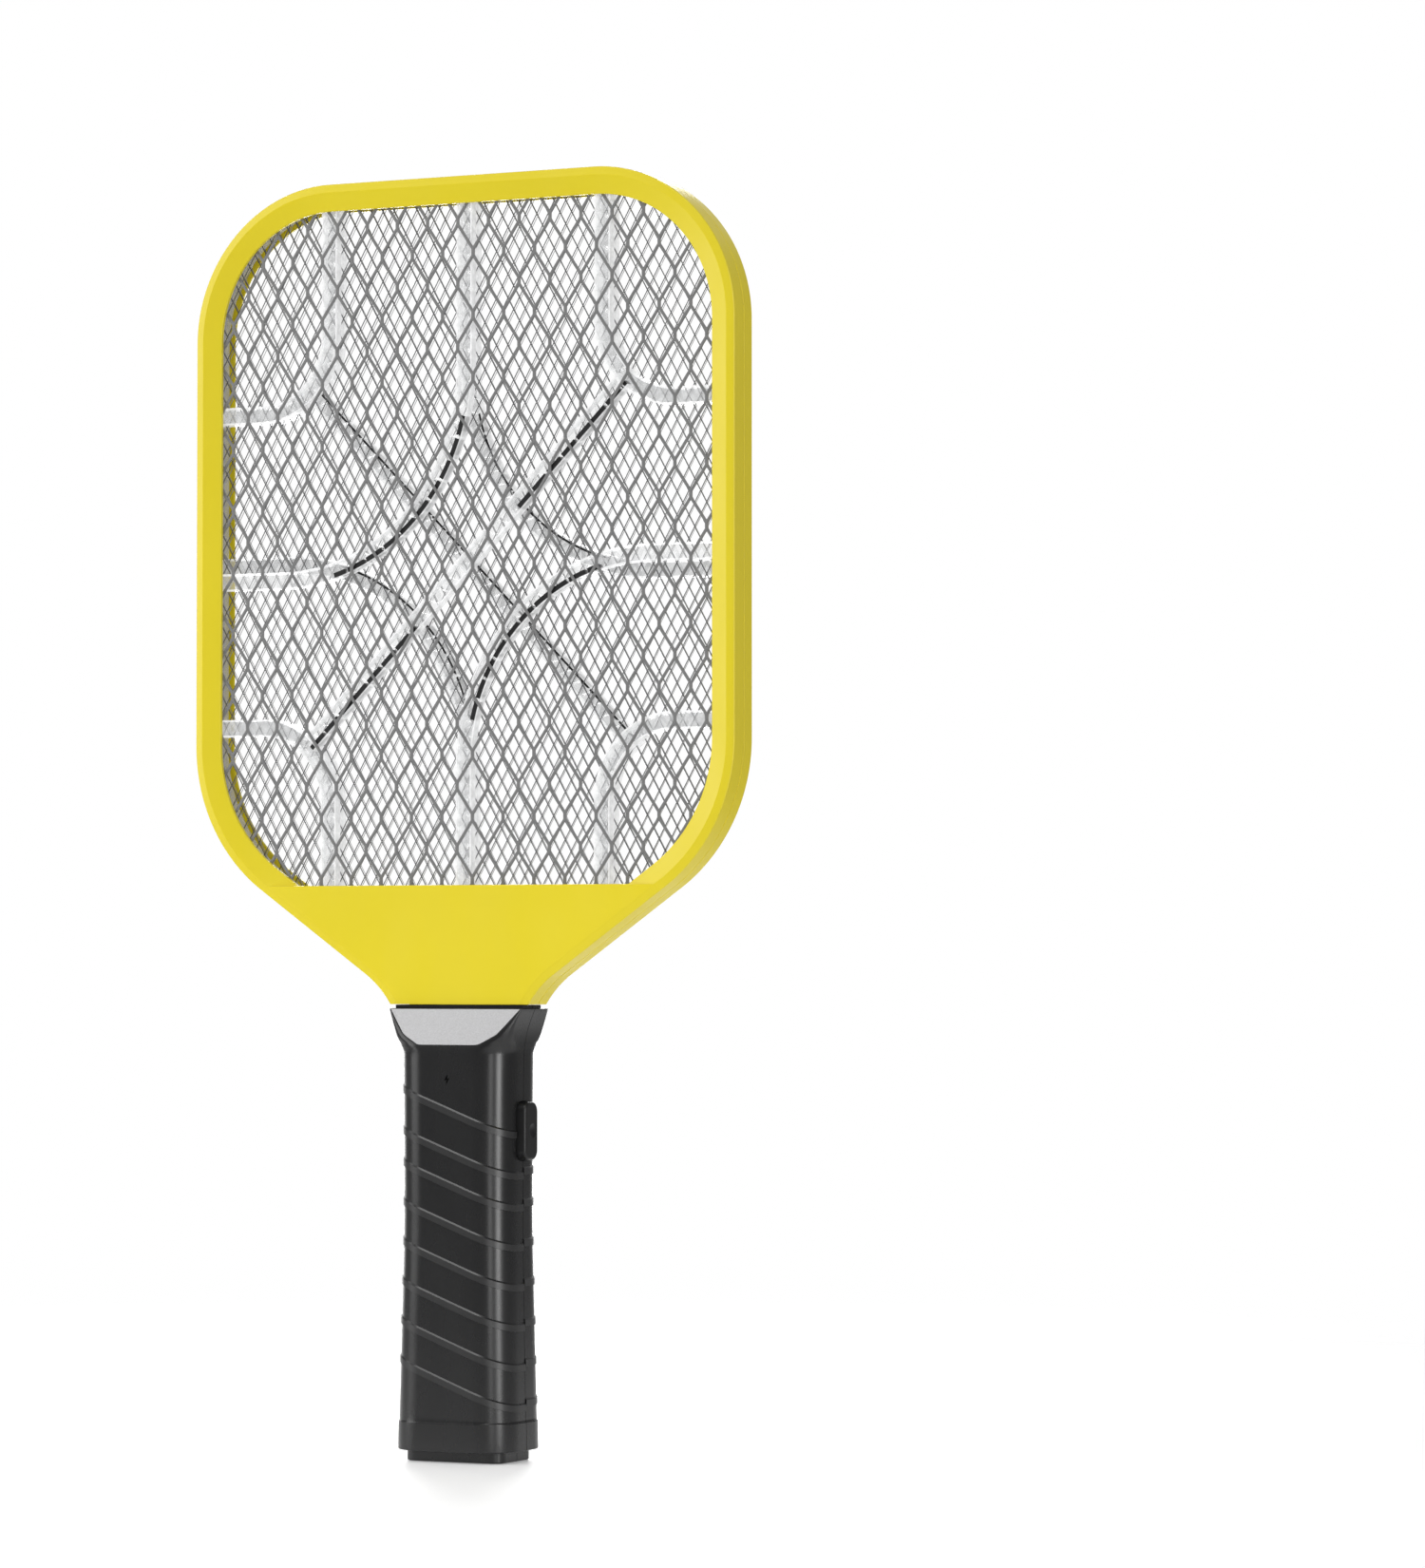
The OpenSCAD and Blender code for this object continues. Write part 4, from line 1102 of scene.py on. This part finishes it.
join(rear_grip, *[rod("post", (x, 0.3, z), (x, 13.5, z), 4, 32) for x, z in LOW_SCREWS])
cut(rear_grip, button_hole(), box("c", (-15, 8, DOOR_Z0 - 0.4), (15, 30, DOOR_Z1 + 0.3)))
for s in (-1, 1):
    low, high = (s * HOOK_X - 2, 11.1, DOOR_Z0 - 2.4), (s * HOOK_X + 2, 14.3, DOOR_Z0 - 0.3)
    cut(rear_grip, box("c", low, high))
for screws, seat in ((PLUG_SCREWS, 9.0), (LOW_SCREWS, 9.8)):
    for x, z in screws:
        cut(rear_grip, *screw_hole(x, z, seat, 30))

door = grip("battery_door_panel", REAR_LIFT)
keep = box("k", (-DOOR_HALF_W, 8, DOOR_Z0), (DOOR_HALF_W, 30, DOOR_Z1))
combine(door, keep, "INTERSECT")
cut(door, grip("c", REAR_LIFT, -2, False))
for z in (57, 59.6, 62.2):
    cut(door, box("c", (-6, 15.4, z), (6, 30, z + 1.2)))
for s in (-1, 1):
    x0, x1, top = s * HOOK_X - 1.6, s * HOOK_X + 1.6, DOOR_Z0 + 1.5
    join(door, box("hook", (x0, 12.2, DOOR_Z0 - 1.9), (x1, 13.9, top)))
    join(door, box("lug", (x0, 13, DOOR_Z0), (x1, 15, top)))

for obj, node, body in (
    (front_grip, "front_handle_shell", "swatter"),
    (rear_grip, "rear_handle_shell", "swatter"),
    (door, "battery_door", "door"),
):
    smooth(obj, 24)
    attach(obj, body)
    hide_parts(node)

trim = trim_solid("silver_plate", [(0, -0.78), (0, -0.14), (-0.1, 0)], SILVER)
smooth(trim, 50)
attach(trim, "swatter")
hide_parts("trim_plate")


# ---- Push button ----


def button_ring(x, grow):
    """The button's outline at x, grown by grow."""
    ring = round_rect(BUTTON_W / 2 + grow, BUTTON_LEN / 2 + grow, 3.4 + grow, 10)
    return [(x, y, z + BUTTON_Z) for y, z in ring]


face = BUTTON_FACE_X
button = loft(
    "push_button",
    [
        button_ring(face - 6.5, 0),
        button_ring(face - 0.9, 0),
        button_ring(face - 0.55, -0.08),
        button_ring(face - 0.25, -0.28),
        button_ring(face - 0.07, -0.58),
        button_ring(face, -0.95),
    ],
    BUTTON,
)
join(button, loft("flange", [button_ring(16.8, 0.9), button_ring(18.0, 0.9)], BUTTON))
turns = [2 * math.pi * i / 40 for i in range(40)]
dish = []
for k in range(9):
    a = DISH_ANGLE * (1 - k / 8)
    x = face + DISH_R * (math.cos(DISH_ANGLE) - math.cos(a))
    r = max(DISH_R * math.sin(a), 0.02)
    dish.append([(x, 0.6 + r * math.cos(t), BUTTON_Z + r * math.sin(t)) for t in turns])
cap = [(face + 1, y, z) for x, y, z in dish[0]]
cut(button, loft("c", [cap] + dish, BUTTON))
smooth(button, 40)
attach(button, "button")
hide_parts("zap_button")


# ---- CAD nodes that keep their shape ----

FINISHES = {
    "frame_screws": STEEL,
    "handle_screws": STEEL,
    "indicator_lens": LENS,
    "indicator_led": LED,
    "switch_body": SWITCH,
    "switch_plunger": PLUNGER,
    "circuit_board": BOARD,
    "transformer_core": FERRITE,
    "transformer_winding": WINDING,
    "storage_capacitor": CAPACITOR,
    "rectifier_diodes": DIODE,
    "discharge_resistors": RESISTOR,
    "driver_transistor": TRANSISTOR,
    "battery_left": CELL,
    "battery_right": CELL,
    "contact_springs": NICKEL,
    "link_contact": NICKEL,
    "positive_contact": NICKEL,
    "negative_contact": NICKEL,
    "battery_wires": SLEEVE,
    "mesh_wires": SLEEVE,
}
for node, mat in FINISHES.items():
    slots = NODES[node].material_slots
    if not slots:
        NODES[node].data.materials.append(mat)
    for s in slots:
        s.material = mat


# ---- Floor, light and camera ----

# The floor's sizes are in millimetres. The camera stands AHEAD metres out along its azimuth and SIDE across.
FLOOR_R = 900.0
FADE_FROM_R = 250.0
FLOOR_DROP = 0.05
FLOOR_SIDES = 96
ROOM_LIGHT = 0.46
GLOSSY_DIM = 0.25
AIM = Vector((0, 0, 0.25))
AZIMUTH = math.radians(25.84)
CAMERA_TILT = math.radians(91.8)
CAMERA_SIDE = 0.0817
CAMERA_AHEAD = 1.8916
CAMERA_Z = 0.1665
CAMERA_LENS = 129.5
SENSOR_W = 36


def stage_material():
    """Pale floor that fades into the white room towards its rim."""
    mat, tree, shader = node_material(
        "pale_floor", (0.93, 0.93, 0.935), 0.55, Emission_Color=(1, 1, 1, 1), Emission_Strength=0.22
    )
    tree.links.new(spread(tree, noise(tree, 3, 2), 0.5, 0.6), shader.inputs["Roughness"])
    coord = tree.nodes.new("ShaderNodeTexCoord")
    reach = tree.nodes.new("ShaderNodeVectorMath")
    reach.operation = "LENGTH"
    tree.links.new(coord.outputs["Object"], reach.inputs[0])
    fade = tree.nodes.new("ShaderNodeMapRange")
    fade.interpolation_type = "SMOOTHSTEP"
    fade.inputs["From Min"].default_value = FADE_FROM_R * MM
    fade.inputs["From Max"].default_value = FLOOR_R * MM
    fade.inputs["To Min"].default_value = 1.0
    fade.inputs["To Max"].default_value = 0.0
    tree.links.new(reach.outputs["Value"], fade.inputs["Value"])
    tree.links.new(fade.outputs["Result"], shader.inputs["Alpha"])
    return mat


def studio_world():
    """A white room: full white to the camera, softer as light, and dimmer still in reflections."""
    world = bpy.data.worlds.new("studio")
    world.use_nodes = True
    tree = world.node_tree
    tree.nodes.clear()
    output = tree.nodes.new("ShaderNodeOutputWorld")
    mix = tree.nodes.new("ShaderNodeMixShader")
    path = tree.nodes.new("ShaderNodeLightPath")
    room = tree.nodes.new("ShaderNodeBackground")
    sky = tree.nodes.new("ShaderNodeBackground")
    room.inputs["Color"].default_value = (1, 1, 1, 1)
    sky.inputs["Color"].default_value = (1, 1, 1, 1)
    sky.inputs["Strength"].default_value = 1.0
    dim = tree.nodes.new("ShaderNodeMath")
    dim.operation = "MULTIPLY_ADD"
    dim.inputs[1].default_value = -GLOSSY_DIM
    dim.inputs[2].default_value = ROOM_LIGHT
    tree.links.new(path.outputs["Is Glossy Ray"], dim.inputs[0])
    tree.links.new(dim.outputs["Value"], room.inputs["Strength"])
    tree.links.new(path.outputs["Is Camera Ray"], mix.inputs["Fac"])
    tree.links.new(room.outputs["Background"], mix.inputs[1])
    tree.links.new(sky.outputs["Background"], mix.inputs[2])
    tree.links.new(mix.outputs["Shader"], output.inputs["Surface"])
    return world


def soft_light(name, azimuth, distance, height, width, tall, watts, lights_matt=True):
    """A soft box at an azimuth round the object, aimed at it. It can light the gloss only."""
    data = bpy.data.lights.new(name, "AREA")
    data.shape = "RECTANGLE"
    data.size = width
    data.size_y = tall
    data.energy = watts
    obj = bpy.data.objects.new(name, data)
    a = math.radians(azimuth)
    obj.location = (distance * math.sin(a), -distance * math.cos(a), height)
    obj.rotation_euler = (AIM - obj.location).to_track_quat("-Z", "Y").to_euler()
    obj.visible_camera = False
    obj.visible_diffuse = lights_matt
    bpy.context.scene.collection.objects.link(obj)


turns = [2 * math.pi * k / FLOOR_SIDES for k in range(FLOOR_SIDES)]
rim = [(FLOOR_R * math.cos(t), FLOOR_R * math.sin(t), 0) for t in turns]
floor = mesh_object("floor", rim, [tuple(range(FLOOR_SIDES))], stage_material())
floor.location.z = -FLOOR_DROP * MM
bpy.context.scene.world = studio_world()

soft_light("left_box", -58, 1.6, 0.75, 0.9, 1.5, 12)
soft_light("right_box", 38, 1.7, 0.6, 0.35, 1.5, 6)
soft_light("right_strip", 66, 1.7, 0.4, 0.4, 1.7, 20, False)
soft_light("left_strip", -152, 1.6, 0.4, 0.7, 1.7, 30, False)
soft_light("top_strip", -10, 0.9, 1.9, 1.2, 0.7, 10, False)
soft_light("top_box", 0, 0.9, 1.9, 1.4, 1.0, 5)
soft_light("back_left", -125, 1.6, 0.6, 0.5, 1.4, 4)
soft_light("back_box", -172, 1.8, 0.7, 1.1, 1.5, 3.5)

cam_data = bpy.data.cameras.new("camera")
cam_data.lens = CAMERA_LENS
cam_data.sensor_width = SENSOR_W
cam_data.clip_end = 50
cam = bpy.data.objects.new("camera", cam_data)
cam.location = (
    CAMERA_SIDE * math.cos(AZIMUTH) + CAMERA_AHEAD * math.sin(AZIMUTH),
    CAMERA_SIDE * math.sin(AZIMUTH) - CAMERA_AHEAD * math.cos(AZIMUTH),
    CAMERA_Z,
)
cam.rotation_euler = (CAMERA_TILT, 0, AZIMUTH)
bpy.context.scene.collection.objects.link(cam)
bpy.context.scene.camera = cam
bpy.context.scene.view_settings.view_transform = "Standard"
bpy.context.scene.view_settings.look = "None"
